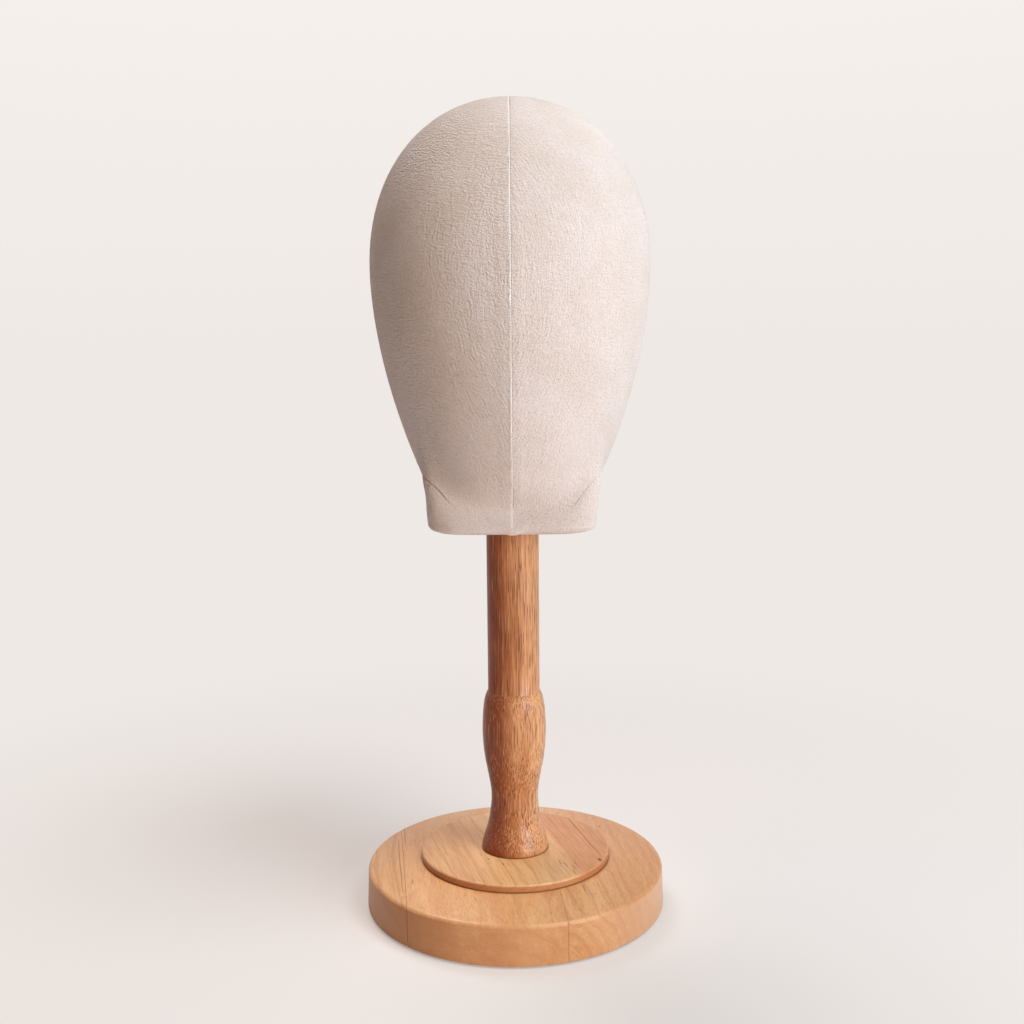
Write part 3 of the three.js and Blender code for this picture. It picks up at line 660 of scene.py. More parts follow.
# The disc's side face gets painted shade all round, and the dark ring round the post's foot is a painted
# contact shadow.
disc_wood = wood(
    "disc_wood", DISC_GRAIN_TURN, (34, -30), 5.0,
    (srgb(226, 168, 114), srgb(168, 98, 56), srgb(218, 154, 102), WOOD_PALE), (0.45, 7.5, 0.34, 0.4), 4,
    washes=[(-34, -18, 0.7, srgb(236, 186, 130)), (-18, -34, 0.35, srgb(204, 148, 98)),
            (18, 30, 0.7, srgb(190, 112, 66))], ring_depth=0.35,
    wall=(-90, -89, 0.6, srgb(172, 100, 58)), contact_shadow_radius=POST_FOOT_RADIUS,
    marks=[(45.0, 2, 0.55, 36, 0.55), (44.9, 35.5, 1.3, 1.8, 0.9), (42.5, -35.4, 1.2, 2.2, 0.95),
           (39.5, 12, 0.4, 26, 0.3), (33.5, 20, 0.4, 22, 0.3), (27.5, 16, 0.4, 30, 0.3),
           (18.5, -31.6, 0.4, 3.5, 0.6), (20.5, -36.0, 0.4, 4.5, 0.6), (22.4, -47.0, 0.4, 3.5, 0.5),
           (24.4, -41.0, 0.4, 4.0, 0.5), (26.8, -38.0, 0.4, 4.5, 0.4),
           (-20.8, -14.6, 0.5, 1.6, 0.6), (-14.7, -24.1, 0.5, 1.6, 0.6)])
disc_rows = [(BOLT_HOLE_RADIUS, BASE_TOP_Z), (DISC_RADIUS - DISC_FOOT_CHAMFER, BASE_TOP_Z)]
disc_rows.append((DISC_RADIUS, BASE_TOP_Z + DISC_FOOT_CHAMFER))
disc_rows += corner(DISC_RADIUS - DISC_ROUND, DISC_TOP_Z - DISC_ROUND, DISC_ROUND, 0, 90)
disc_rows.append((BOLT_HOLE_RADIUS, DISC_TOP_Z))
turned_piece("raised_disc", disc_rows, BASE_SIDES, disc_wood, WOOD_SMOOTH_ANGLE, "stand")

# Post
POST_SIDES = 160
POST_ROWS = 12
POST_SMOOTH_ANGLE = 40
TOP_ROUND_START = 10
TOP_ROUND_STEPS = 5
post_rows = [
    (0, DISC_TOP_Z + PILOT_HOLE_DEPTH),
    (BOLT_HOLE_RADIUS, DISC_TOP_Z + PILOT_HOLE_DEPTH),
    (BOLT_HOLE_RADIUS, DISC_TOP_Z + INSERT_HOLE_DEPTH),
    (INSERT_HOLE_RADIUS, DISC_TOP_Z + INSERT_HOLE_DEPTH),
    (INSERT_HOLE_RADIUS, DISC_TOP_Z),
    (POST_FOOT_RADIUS - FOOT_CHAMFER, DISC_TOP_Z),
]
post_rows += [(r, DISC_TOP_Z + h) for r, h in spline(POST_PROFILE, PROFILE_STEPS)]
straight_top = POST_TOP_Z - POST_TOP_CHAMFER
for height in np.linspace(DISC_TOP_Z + SHOULDER_HEIGHT, straight_top, POST_ROWS)[1:]:
    post_rows.append((POST_RADIUS, float(height)))
post_rows += corner(
    POST_RADIUS - POST_TOP_CHAMFER, straight_top, POST_TOP_CHAMFER, TOP_ROUND_START, 90, TOP_ROUND_STEPS)
post_rows.append((0, POST_TOP_Z))
# The post's first wash is painted shade down its left side, and its second is painted light down its right
# side.
post_wood = wood(
    "post_wood", 0.0, (7, -5), 5.5,
    (srgb(212, 148, 98), srgb(132, 58, 18), srgb(197, 128, 78), srgb(233, 176, 126)),
    (0.5, 14.0, 0.43, 0.7), 5, upright=True, end_grain=0.0, streak=0.55, fibre_size=(0.5, 22.0),
    washes=[(6, -13, 0.92, srgb(138, 54, 4)), (3, 14, 0.5, srgb(234, 178, 130))])
turned_piece("post", post_rows, POST_SIDES, post_wood, POST_SMOOTH_ANGLE, "stand")

# Felt pads under the base, and the felt disc on the post's end
FELT_SIDES = 64
FELT_ROUND_STEPS = 4
SOFT_SMOOTH_ANGLE = 50


def felt_rows(radius, bottom, thickness, round_mm):
    rows = [(0, bottom)]
    rows += corner(radius - round_mm, bottom + round_mm, round_mm, -90, 0, FELT_ROUND_STEPS)
    rows += corner(radius - round_mm, bottom + thickness - round_mm, round_mm, 0, 90, FELT_ROUND_STEPS)
    rows.append((0, bottom + thickness))
    return rows


felt = grained("brown_felt", srgb(92, 72, 56), srgb(140, 116, 94), 0.3, (1.6, 4.0, 0.7),
               Roughness=1.0, Sheen_Weight=0.3)
pad_points, pad_faces = turned(felt_rows(PAD_RADIUS, 0.0, PAD_THICKNESS, PAD_ROUND), FELT_SIDES)
for i in range(PAD_COUNT):
    angle = FULL_TURN * (i + 0.5) / PAD_COUNT
    place = PAD_CIRCLE_RADIUS * np.array([math.cos(angle), math.sin(angle), 0])
    solid = f"foot_pad_{i + 1}"
    pad = mesh_object(solid + "_fine", np.array(pad_points) + place, pad_faces, felt, SOFT_SMOOTH_ANGLE)
    dressed(pad, "stand", solid)

bearing_rows = felt_rows(BEARING_RADIUS, POST_TOP_Z + BEARING_GAP, BEARING_THICKNESS, BEARING_ROUND)
turned_piece("bearing_disc", bearing_rows, FELT_SIDES, felt, SOFT_SMOOTH_ANGLE, "bearing")

# Bolt with a hexagon socket in its head
steel = metal_material("zinc_plated_steel", srgb(200, 203, 208), srgb(170, 173, 180), 0.32)
BOLT_SIDES = 48
BOLT_SMOOTH_ANGLE = 30
HEX_SOCKET_CHAMFER = 0.2
BOLT_TIP_CHAMFER = 0.5
sixth = math.pi / 3
side_angles = np.arange(BOLT_SIDES) * FULL_TURN / BOLT_SIDES
hexagon = (HEX_SOCKET_WIDTH / 2) / np.cos((side_angles % sixth) - sixth / 2)
rows = [
    (0, BOLT_HEAD_BOTTOM_Z + HEX_SOCKET_DEPTH),
    (hexagon, BOLT_HEAD_BOTTOM_Z + HEX_SOCKET_DEPTH),
    (hexagon, BOLT_HEAD_BOTTOM_Z + HEX_SOCKET_CHAMFER),
    (HEX_SOCKET_RIM, BOLT_HEAD_BOTTOM_Z),
    (BOLT_HEAD_RADIUS - BOLT_HEAD_CHAMFER, BOLT_HEAD_BOTTOM_Z),
    (BOLT_HEAD_RADIUS, BOLT_HEAD_BOTTOM_Z + BOLT_HEAD_CHAMFER),
    (BOLT_HEAD_RADIUS, BOLT_HEAD_TOP_Z),
    (BOLT_RADIUS, BOLT_HEAD_TOP_Z),
    (BOLT_RADIUS, BOLT_TIP_Z - BOLT_TIP_CHAMFER),
    (BOLT_RADIUS - BOLT_TIP_CHAMFER, BOLT_TIP_Z),
    (0, BOLT_TIP_Z),
]
turned_piece("base_bolt", rows, BOLT_SIDES, steel, BOLT_SMOOTH_ANGLE, "stand")


# Head form, as in the solids


def smooth(value):
    share = np.clip(value, 0.0, 1.0)
    return share * share * (3 - 2 * share)


def rising(value, low, high):
    """0 below low, 1 above high, and a smooth rise between them."""
    return smooth((value - low) / (high - low))


def outline_reach(outline, z):
    rise = np.clip((z - outline["widest"]) / (CROWN_Z - outline["widest"]), 0, 1)
    fall = np.clip((outline["widest"] - z) / outline["length"], 0, 1)
    above = (1 - rise ** outline["above"]) ** (1 / outline["above"])
    below = (1 - fall ** outline["power"]) ** outline["root"]
    return outline["reach"] * np.where(z > outline["widest"], above, below)


def oval_radius(angle, half_width, half_depth, power):
    width = np.maximum(half_width, 1e-9)
    depth = np.maximum(half_depth, 1e-9)
    across = np.abs(np.cos(angle) / width) ** power
    along = np.abs(np.sin(angle) / depth) ** power
    return (across + along) ** (-1 / power)


def face_radius(angle, z):
    drop = np.clip((JAW_TOP_Z - z) / (JAW_TOP_Z - JAW_BOTTOM_Z), 0, 1)
    closing = (1 - drop ** JAW_POWER) ** (1 / JAW_POWER)
    square = 1 - rising(z, CHIN_SQUARE_BOTTOM_Z, CHIN_SQUARE_TOP_Z)
    depth = np.where(np.sin(angle) < 0, outline_reach(FRONT_OUTLINE, z), outline_reach(BACK_OUTLINE, z))
    return oval_radius(
        angle, outline_reach(SIDE_OUTLINE, z) * closing, depth * closing, 2 + CHIN_SQUARENESS * square)


def neck_radius(angle, z):
    rise = np.clip((z - HEM_Z) / (NECK_FLARE_TOP_Z - HEM_Z), 0, 1)
    depth = np.where(np.sin(angle) < 0, NECK_FRONT_DEPTH + NECK_FRONT_FLARE * rise, NECK_BACK_DEPTH)
    square = rising(z, NECK_SQUARE_BOTTOM_Z, NECK_SQUARE_TOP_Z)
    square = NECK_SQUARE_AT_HEM + (1 - NECK_SQUARE_AT_HEM) * square
    square = square * smooth(-np.sin(angle) / NECK_SQUARE_TURN)
    width = (NECK_HALF_WIDTH + NECK_FLARE * rise) * (1 - NECK_SQUARE_TAPER * square)
    radius = oval_radius(angle, width, depth, NECK_POWER + NECK_SQUARENESS * square)
    return np.where(z > NECK_END_Z, 0.0, radius)


def head_radius(angle, z):
    forward = np.clip(-np.sin(angle), 0, 1)
    backward = np.clip(np.sin(angle), 0, 1)
    blend = SIDE_BLEND + (FRONT_BLEND - SIDE_BLEND) * forward ** 3
    blend = blend + (BACK_BLEND - SIDE_BLEND) * backward ** 2
    face = face_radius(angle, z)
    neck = neck_radius(angle, z)
    share = np.clip(0.5 + 0.5 * (face - neck) / blend, 0, 1)
    radius = neck * (1 - share) + face * share + blend * share * (1 - share)
    fade = np.sqrt(np.clip((CROWN_Z - z) / SEAM_RIDGE_FADE, 0, 1))
    above_neck = rising(z, NECK_RIDGE_BOTTOM_Z, NECK_RIDGE_TOP_Z)
    keel = 1 - rising(z, CHIN_KEEL_FULL_Z, CHIN_KEEL_TOP_Z)
    distance = np.abs(radius * np.cos(angle))
    strength = fade * (NECK_RIDGE + (1 - NECK_RIDGE) * above_neck)
    ridge = SEAM_RIDGE * np.exp(-distance / SEAM_RIDGE_WIDTH) * strength
    return radius + ridge + CHIN_KEEL * np.exp(-distance / CHIN_KEEL_WIDTH) * forward * keel * above_neck


# Right-hand panel as a grid: rows from the turned-in edge up to the crown, columns from the front seam
# to the back seam. The left-hand panel is its mirror image. The rows bend along the line of the dart.

FINE_ANGLE_COUNT = 721
DART_STEPS = 12
TURNED_ROWS = (TURNED_EDGE, 9.0, 6.5, 4.5)
HEM_ROWS = 8
HEM_ROW_TURN = 12
NECK_ROWS = 18
JAW_ROWS = 20
CHEEK_ROWS = 55
CROWN_ROWS = 33
MIDDLE_COLUMNS = 104

fine_angles = np.linspace(-math.pi / 2, math.pi / 2, FINE_ANGLE_COUNT)
dart_curve = np.array(spline([(math.radians(turn), z) for turn, z in DART_LINE], DART_STEPS))
dart_height = np.interp(fine_angles, dart_curve[:, 0], dart_curve[:, 1])


def row_curves():
    """For each row: how far it is drawn in from the neck, and its height at each fine angle."""
    flat = np.ones_like(fine_angles)
    curves = [(drawn_in, HEM_Z * flat) for drawn_in in TURNED_ROWS]
    for turn in np.radians(np.arange(HEM_ROWS) * HEM_ROW_TURN):
        z = HEM_Z + HEM_ROUND * (1 - math.cos(turn))
        curves.append((HEM_ROUND * (1 - math.sin(turn)), z * flat))
    along_dart = dart_height + np.array(DART_OFFSETS)[:, None]
    crown_turns = np.linspace(0, math.pi / 2, CROWN_ROWS + 1)[1:, None]
    levels = np.vstack([
        np.linspace(NECK_BOTTOM_Z * flat, along_dart[0], NECK_ROWS + 1)[:-1],
        along_dart,
        np.linspace(along_dart[-1], LEVEL_ROWS_Z * flat, JAW_ROWS + 1)[1:],
        np.linspace(LEVEL_ROWS_Z * flat, CHEEK_TOP_Z * flat, CHEEK_ROWS + 1)[1:],
        (CHEEK_TOP_Z + (CROWN_Z - CHEEK_TOP_Z) * np.sin(crown_turns)) * flat,
    ])
    return curves + [(0.0, level) for level in levels]


def column_distances(total):
    """Distances from the front seam along a row of that total length."""
    squeeze = min(1.0, total / NARROW_ROW)
    near = np.array(SEAM_DISTANCES) * squeeze
    middle = np.linspace(near[-1], total - near[-1], MIDDLE_COLUMNS + 2)[1:-1]
    return np.concatenate([near, middle, total - near[::-1]])


def lengths_along(line):
    return np.concatenate([[0], np.cumsum(np.linalg.norm(np.diff(line, axis=0), axis=1))])


def panel_grid():
    points = []
    distances = []
    totals = []

    def on_form(angle, z, drawn_in):
        if drawn_in > 0:
            radius = head_radius(angle, np.full_like(angle, NECK_BOTTOM_Z)) - drawn_in
        else:
            radius = head_radius(angle, z)
        return np.stack([radius * np.cos(angle), radius * np.sin(angle), z], axis=1)

    for drawn_in, heights in row_curves():
        lengths = lengths_along(on_form(fine_angles, heights, drawn_in))
        wanted = column_distances(lengths[-1])
        angle = np.interp(wanted, lengths, fine_angles) if lengths[-1] > 0 else np.zeros_like(wanted)
        points.append(on_form(angle, np.interp(angle, fine_angles, heights), drawn_in))
        distances.append(wanted)
        totals.append(lengths[-1])
    points = np.array(points)
    points[-1, :, :2] = 0.0
    return points, np.array(distances), np.array(totals)


def grid_normals(points):
    along_row = np.gradient(points, axis=1)
    up_rows = np.gradient(points, axis=0)
    normals = np.cross(along_row, up_rows)
    normals[:, [0, -1], 0] = 0.0
    length = np.linalg.norm(normals, axis=2, keepdims=True)
    normals = normals / np.maximum(length, 1e-12)
    normals[-1] = (0, 0, 1)
    return normals


def relief(points, distances, totals):
    """How far the cloth stands out: seam allowances, the lump at the hem, and the dart and the swell at
    the jaw. A span is where it starts and ends round the head, and over how far it fades, in degrees."""
    from_seam = np.minimum(distances, totals[:, None] - distances)
    z = points[:, :, 2]
    near_seam = 1 - rising(from_seam, ALLOWANCE_WIDTH - ALLOWANCE_EDGE, ALLOWANCE_WIDTH + ALLOWANCE_EDGE)
    below_crown = smooth((ALLOWANCE_TOP_Z - z) / ALLOWANCE_FADE)
    raised = ALLOWANCE_HEIGHT * near_seam * below_crown
    lump = 1 - rising(z, HEM_Z, HEM_LUMP_TOP_Z)
    lump = lump * np.exp(-(from_seam / HEM_LUMP_WIDTH) ** 4)
    angle = np.arctan2(points[:, :, 1], points[:, :, 0])
    reach = np.hypot(points[:, :, 0], points[:, :, 1])
    slope = np.interp(angle, fine_angles, np.gradient(dart_height, fine_angles)) / np.maximum(reach, 1)
    above_dart = (z - np.interp(angle, fine_angles, dart_height)) / np.sqrt(1 + slope ** 2)

    def between(span):
        front, back, fade = np.radians(span)
        return smooth((angle - front) / fade) * smooth((back - angle) / fade)

    def hump(middle, width):
        return np.exp(-((above_dart - middle) / width) ** 2)

    dart = DART_LIP * hump(*DART_LIP_HUMP) - DART_DEPTH * hump(0, DART_WIDTH)
    wave = hump(*JAW_WAVE_SWELL) - JAW_WAVE_HOLLOW_SHARE * hump(*JAW_WAVE_HOLLOW)
    wave = JAW_WAVE * wave * between(JAW_WAVE_SPAN)
    return raised + HEM_LUMP * lump + dart * between(DART_SPAN) + wave


def fold_share(z):
    """How far the seam's fold is open: fully on the face, and hardly on the neck."""
    return NECK_FOLD + (1 - NECK_FOLD) * rising(z, FOLD_BOTTOM_Z, FOLD_TOP_Z)


grid, grid_distances, grid_totals = panel_grid()
normals = grid_normals(grid)
standing_out = relief(grid, grid_distances, grid_totals)
seam_distance = np.minimum(grid_distances, grid_totals[:, None] - grid_distances)
sunk = SEAM_SINK * smooth(1 - seam_distance / SEAM_SINK_WIDTH) * smooth(grid_totals / NARROW_ROW)[:, None]
sunk = sunk * fold_share(grid[:, :, 2])
outer = grid + normals * standing_out[:, :, None]
outer_sunk = grid + normals * (standing_out - sunk)[:, :, None]
inner = grid - normals * CLOTH
for layer in (outer, outer_sunk, inner):
    layer[:-1, :, 0] = np.maximum(layer[:-1, :, 0], SEAM_HALF_GAP)
row_steps = np.linalg.norm(np.diff(grid, axis=0), axis=2)
cloth_up = np.vstack([np.zeros(grid.shape[1]), np.cumsum(row_steps, axis=0)])
cloth_across = grid_distances - grid_totals[:, None] / 2


# The third coordinate of a piece's cloth, which gives each piece threads of its own
PANEL_LAYER = 40
FOLD_LAYER = 7
SOLE_LAYER = 90
CLOTH_SMOOTH_ANGLE = 60


def listed(layer):
    """The points of a grid in order, with the row at the crown as one point."""
    return np.vstack([layer[:-1].reshape(-1, 3), layer[-1, :1]])


def panel(name, side, shown, material):
    """One cloth panel as a closed shell. side is 1 on the right and -1 on the left."""
    row_count, column_count = grid.shape[:2]
    points = np.vstack([listed(shown), listed(inner)]) * (side, 1, 1)
    crown = (row_count - 1) * column_count
    face_side = [list(range(i * column_count, (i + 1) * column_count)) for i in range(row_count - 1)]
    face_side.append([crown] * column_count)
    back_side = [[number + crown + 1 for number in row] for row in face_side]
    faces = []

    def strip(first, second):
        for j in range(len(first) - 1):
            corners = [first[j], first[j + 1], second[j + 1], second[j]]
            kept = [c for n, c in enumerate(corners) if c not in corners[:n]]
            faces.append(kept if side > 0 else kept[::-1])

    for i in range(row_count - 1):
        strip(face_side[i], face_side[i + 1])
        strip(back_side[i + 1], back_side[i])
    strip(back_side[0], face_side[0])
    strip([row[0] for row in face_side], [row[0] for row in back_side])
    strip([row[-1] for row in back_side], [row[-1] for row in face_side])
    made = mesh_object(name, points, faces, material, CLOTH_SMOOTH_ANGLE)
    layers = np.full_like(cloth_up, PANEL_LAYER * side)
    values = listed(np.stack([cloth_across * side, cloth_up, layers], axis=2))
    point_values(made, "cloth", np.vstack([values, values]))
    return made


cover = linen("linen_cover", srgb(232, 219, 214), srgb(227, 212, 204))
for name, side, shown in (("cover_left", -1, outer), ("cover_right", 1, outer_sunk)):
    made = panel(name + "_fine", side, shown, cover)
    dressed(made, "head", name)

# Fold of the seam: the left-hand panel's pressed edge, from the front hem over the crown to the back hem
FOLD_STEP = 1.2
first_row = len(TURNED_ROWS)
seam_line, seam_normals = (
    np.vstack([layer[first_row:, 0], layer[first_row:-1, -1][::-1]]) for layer in (outer, normals))
seam_line[:, 0] = 0.0


def resampled(line, extra, step):
    lengths = lengths_along(line)
    wanted = np.arange(0, lengths[-1], step)
    found = [np.stack([np.interp(wanted, lengths, part[:, k]) for k in range(3)], axis=1)
             for part in (line, extra)]
    return found[0], found[1] / np.linalg.norm(found[1], axis=1, keepdims=True)


def swept(name, line, frames, section, material):
    """A closed strip along a line. frames gives each point's outward direction; the section is
    (sideways towards +X, outward) for each point of the line."""
    sideways = np.array([1.0, 0, 0])
    sides = section.shape[1]
    points = []
    for place, outward, shape in zip(line, frames, section):
        points.extend(place + sideways * u + outward * h for u, h in shape)
    faces = [list(range(sides))[::-1], [(len(line) - 1) * sides + k for k in range(sides)]]
    for i in range(len(line) - 1):
        for k in range(sides):
            n = (k + 1) % sides
            faces.append([i * sides + k, i * sides + n, (i + 1) * sides + n, (i + 1) * sides + k])
    return mesh_object(name, points, faces, material, CLOTH_SMOOTH_ANGLE)


fold_line, fold_frames = resampled(seam_line, seam_normals, FOLD_STEP)
fold_top = np.array(SEAM_FOLD)
fold_floor = [(SEAM_FOLD[-1][0], SEAM_FOLD_FLOOR), (SEAM_FOLD[0][0], SEAM_FOLD_FLOOR)]
shares = fold_share(fold_line[:, 2])
sections = np.array([np.vstack([fold_top * (1, share), fold_floor])[::-1] for share in shares])
# The fold's linen is lighter than the cover's: a painted highlight along the seam's ridge.
fold_linen_highlight = linen("linen_fold", srgb(245, 237, 233), srgb(239, 230, 225))
fold = swept("seam_fold", fold_line, fold_frames, sections, fold_linen_highlight)
fold_cloth = [(u, along, FOLD_LAYER) for along in lengths_along(fold_line) for u, h in sections[0]]
point_values(fold, "cloth", fold_cloth)
dressed(fold, "head")


# Stitches


# (place along the stitch, share of its radius, height over its middle)
STITCH_SHAPE = [(-0.5, 0.0, -0.2), (-0.42, 0.7, -0.1), (-0.2, 1.0, 0.0),
                (0.2, 1.0, 0.0), (0.42, 0.7, -0.1), (0.5, 0.0, -0.2)]
STITCH_RINGS = len(STITCH_SHAPE) - 2


def stitch_points(place, direction, outward, length, radius):
    """One stitch as a short capsule that dips into the cloth at both ends."""
    sideways = np.cross(direction, outward)
    points = []
    for share, thick, dip in STITCH_SHAPE:
        centre = place + direction * share * length + outward * dip
        if thick == 0:
            points.append(centre)
            continue
        for k in range(STITCH_SIDES):
            angle = FULL_TURN * k / STITCH_SIDES
            ring = sideways * math.cos(angle) + outward * math.sin(angle)
            points.append(centre + ring * radius * thick)
    return points


def stitch_faces(start):
    faces = []
    rings = [start + 1 + STITCH_SIDES * i for i in range(STITCH_RINGS)]
    tip = start + 1 + STITCH_RINGS * STITCH_SIDES
    for k in range(STITCH_SIDES):
        n = (k + 1) % STITCH_SIDES
        faces.append([start, rings[0] + k, rings[0] + n])
        faces.append([tip, rings[-1] + n, rings[-1] + k])
        for low, high in zip(rings, rings[1:]):
            faces.append([low + k, high + k, high + n, low + n])
    return faces


def stitch_row(name, line, outwards, material, pitch, length, radius, lift):
    line, outwards = resampled(line, outwards, pitch)
    line = line + outwards * lift
    points = []
    faces = []
    for i in range(1, len(line) - 1):
        direction = line[i + 1] - line[i - 1]
        direction = direction / np.linalg.norm(direction)
        faces += stitch_faces(len(points))
        points += stitch_points(line[i], direction, outwards[i], length, radius)
    dressed(mesh_object(name, points, faces, material), "head")


# Seam stitches sit beside the fold. They are real, and their darker thread is painted shade for the needle
# holes. Pale thread closes the right-hand dart. The left-hand dart's stitches form a dark brown line,
# painted shade for the shadow in its groove.
seam_thread_hole_shade = thread_material("seam_thread_hole_shade", srgb(176, 156, 150), srgb(150, 130, 124))
left_dart_shade_thread = thread_material("left_dart_shade_thread", srgb(104, 78, 66), srgb(84, 60, 50))
pale_thread = thread_material("dart_thread", srgb(255, 253, 251), srgb(247, 242, 238))
SEAM_TOP_ROW = -4
seam_z = grid[:, 0, 2]
sewn = (seam_z > FOLD_BOTTOM_Z) & (seam_z < seam_z[SEAM_TOP_ROW])
sides = [SEAM_STITCH_COLUMN, -1 - SEAM_STITCH_COLUMN]
sew_line, sew_normals = (
    np.vstack([layer[sewn, sides[0]], layer[sewn, sides[1]][::-1]]) for layer in (outer_sunk, normals))
stitch_row("seam_stitches", sew_line, sew_normals, seam_thread_hole_shade, **SEAM_STITCH)

dart_row = len(TURNED_ROWS) + HEM_ROWS + NECK_ROWS + DART_OFFSETS.index(0.0)
dart_turn = np.degrees(np.arctan2(grid[dart_row, :, 1], grid[dart_row, :, 0]))
sewn = (dart_turn > DART_STITCH_FRONT) & (dart_turn < DART_STITCH_BACK)
dart_normals = normals[dart_row][sewn]
stitch_row("dart_stitches_right", outer_sunk[dart_row][sewn], dart_normals, pale_thread, **RIGHT_STITCH)
mirror = (-1, 1, 1)
left_line = outer[dart_row][sewn] * mirror
# Dark brown stitches along the left-hand dart: painted shade for the shadow in its groove
stitch_row("left_dart_shade_stitches", left_line, dart_normals * mirror, left_dart_shade_thread, **LEFT_DART_SHADE_STITCH)

# Sole: the patch of linen that covers the turned-in edge, with its hole for the socket
SOLE_SIDES = 192
SOLE_HOLLOW = 0.12
SOLE_HOLE_EDGE = [(0.0, 0.3), (0.3, 0.05)]
SOLE_EDGE = [(4.0, SOLE_HOLLOW), (1.5, 0.02), (0.38, 0.0), (0.12, 0.15), (0.0, 0.5)]
sole_angles = np.arange(SOLE_SIDES) * FULL_TURN / SOLE_SIDES
sole_edge = head_radius(sole_angles, np.full_like(sole_angles, NECK_BOTTOM_Z)) - SOLE_INSET
bottom = HEM_Z - SOLE_THICKNESS
sole_rows = [(SOLE_HOLE_RADIUS, HEM_Z)]
sole_rows += [(SOLE_HOLE_RADIUS + back, bottom + up) for back, up in SOLE_HOLE_EDGE]
for share in (0.3, 0.6):
    sole_rows.append((sole_edge * share + SOLE_HOLE_RADIUS * (1 - share), bottom + SOLE_HOLLOW))
sole_rows += [(sole_edge - back, bottom + up) for back, up in SOLE_EDGE]
sole_rows.append((sole_edge, HEM_Z))
sole_linen = linen("linen_sole", srgb(226, 212, 205), srgb(220, 204, 196))
sole = turned_piece("sole_cloth", sole_rows, SOLE_SIDES, sole_linen, SOFT_SMOOTH_ANGLE, "head")
sole_points = np.array([v.co for v in sole.data.vertices]) / MM
point_values(sole, "cloth", sole_points * (1, 1, 0) + (0, 0, SOLE_LAYER))

# Pieces that keep their solids
brass = metal_material("plain_brass", srgb(214, 176, 92), srgb(190, 148, 66), 0.3)
plywood = plywood_material()
foam = grained("rigid_foam", srgb(240, 232, 208), srgb(226, 214, 184), 0.2, (1.2, 3.0), Roughness=0.9)
plastic = grained(
    "moulded_plastic", srgb(232, 230, 224), srgb(224, 221, 214), 0.03, (0.5, 3.0), Roughness=0.45)
STAPLE_COUNT = 8
kept = {"spring_washer": steel, "flat_washer": steel, "threaded_insert": brass, "head_core": foam,
        "neck_plate": plywood, "socket_tube": plastic, "socket_cap": plastic}
kept.update({f"staple_{i + 1}": steel for i in range(STAPLE_COUNT)})
for name, material in kept.items():
    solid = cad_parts[name]
    solid.data.materials.clear()
    solid.data.materials.append(material)

# Floor and backdrop
BACKDROP_LOW = srgb(238, 233, 229)
BACKDROP_HIGH = srgb(245, 240, 236)
AMBIENT = (1.0, 0.54, 0.22, 1.0)
AMBIENT_STRENGTH = 0.01
FLOOR_COLOUR = srgb(234, 225, 221)
FLOOR_GLOW = 0.38
FLOOR_HALF_SIZE = 12000
FLOOR_NEAR = 0.16
FLOOR_FAR = 0.65
SKY_TOP = 0.25

ground = Shader("studio_floor", Roughness=1.0, Specular_IOR_Level=0.0)
ground.colour(FLOOR_COLOUR)
x, y, _ = ground.axes(ground.node("TexCoord").outputs["Object"])
far = ground.steps(ground.length(x, y), FLOOR_NEAR, FLOOR_FAR)
seen = ground.node("LightPath").outputs["Is Camera Ray"]
glow = ground.node("Emission", {"Color": BACKDROP_LOW, "Strength": 1.0}).outputs[0]
glow_share = ground.times(ground.numbers(far, FLOOR_GLOW, 1.0), seen)
mixed = ground.node("MixShader", {0: glow_share, 1: ground.surface.outputs[0], 2: glow}).outputs[0]
ground.put(ground.tree.nodes["Material Output"].inputs["Surface"], mixed)
corners = np.array([(-1, -1, 0), (1, -1, 0), (1, 1, 0), (-1, 1, 0)]) * FLOOR_HALF_SIZE
floor = mesh_object("floor", corners, [(0, 1, 2, 3)], ground.material)

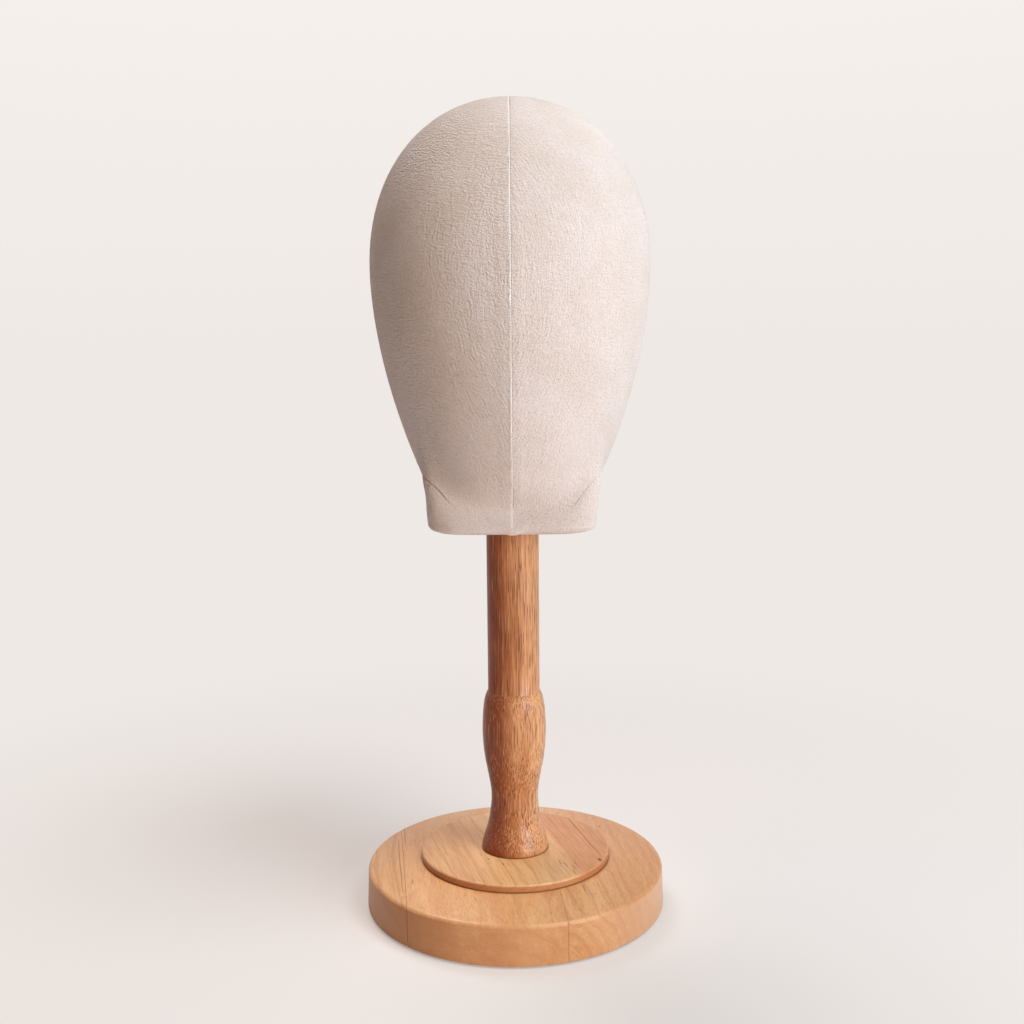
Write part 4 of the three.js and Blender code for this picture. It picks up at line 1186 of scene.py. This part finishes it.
world = bpy.data.worlds.new("studio")
scene.world = world
world.use_nodes = True
studio = Nodes(world.node_tree)
studio.tree.nodes.clear()
height = studio.axes(studio.node("TexCoord").outputs["Generated"])[2]
climb = {"Value": height, "From Min": 0.0, "From Max": SKY_TOP}
sky = studio.colours(studio.node("MapRange", climb).outputs["Result"], BACKDROP_LOW, BACKDROP_HIGH)
shown = studio.node("Background", {"Color": sky, "Strength": 1.0}).outputs[0]
ambient = studio.node("Background", {"Color": AMBIENT, "Strength": AMBIENT_STRENGTH}).outputs[0]
rays = studio.node("LightPath").outputs
direct = studio.math("ADD", rays["Is Camera Ray"], rays["Is Glossy Ray"])
direct = studio.math("MAXIMUM", direct, rays["Is Transmission Ray"])
both = studio.node("MixShader", {0: direct, 1: ambient, 2: shown}).outputs[0]
studio.node("OutputWorld", {"Surface": both})

# Lamps: (name, azimuth from the camera's side towards the right, elevation, share of full light, colour)
LAMP_DISTANCE = 2.0
LAMP_SIZE = 1.1
LAMPS = [
    ("key_high", 55, 60, 0.62, (0.87, 0.97, 1.0)),
    ("key_low", 55, 10, 0.46, (0.27, 0.68, 1.0)),
    ("front", 35, 10, 0.57, (1.0, 0.75, 0.56)),
    ("side", -90, 60, 0.14, (1.0, 0.62, 0.34)),
    ("back", 208, 60, 0.56, (1.0, 0.98, 1.0)),
]
AIM = (0, 0, 0.25)


def facing(azimuth, elevation, roll=0.0):
    """The turn of a lamp or camera that stands in that direction and looks at the middle, in degrees."""
    turns = [(azimuth, "Z"), (90 - elevation, "X"), (roll, "Z")]
    first, second, third = (Matrix.Rotation(math.radians(angle), 4, axis) for angle, axis in turns)
    return first @ second @ third


for name, azimuth, elevation, share, colour in LAMPS:
    lamp = bpy.data.lights.new(name, "AREA")
    lamp.shape = "DISK"
    lamp.size = LAMP_SIZE
    lamp.energy = share * (math.pi * LAMP_DISTANCE) ** 2
    lamp.color = colour
    outwards = facing(azimuth, elevation) @ Matrix.Translation((0, 0, LAMP_DISTANCE))
    placed(name, lamp).matrix_world = Matrix.Translation(AIM) @ outwards

# Camera at the photograph's viewing angle
CAMERA_PLACE = (0.0, -0.736, 0.342)
CAMERA_LENS = 43.945
CAMERA_AZIMUTH = 0.015
CAMERA_ELEVATION = 7.82
CAMERA_ROLL = -0.5
camera_data = bpy.data.cameras.new("camera")
camera_data.lens = CAMERA_LENS
camera_data.sensor_width = 36.0
camera_data.clip_start = 0.01
camera = placed("camera", camera_data)
turn = facing(CAMERA_AZIMUTH, CAMERA_ELEVATION, CAMERA_ROLL)
camera.matrix_world = Matrix.Translation(CAMERA_PLACE) @ turn
scene.camera = camera
scene.view_settings.view_transform = "Standard"
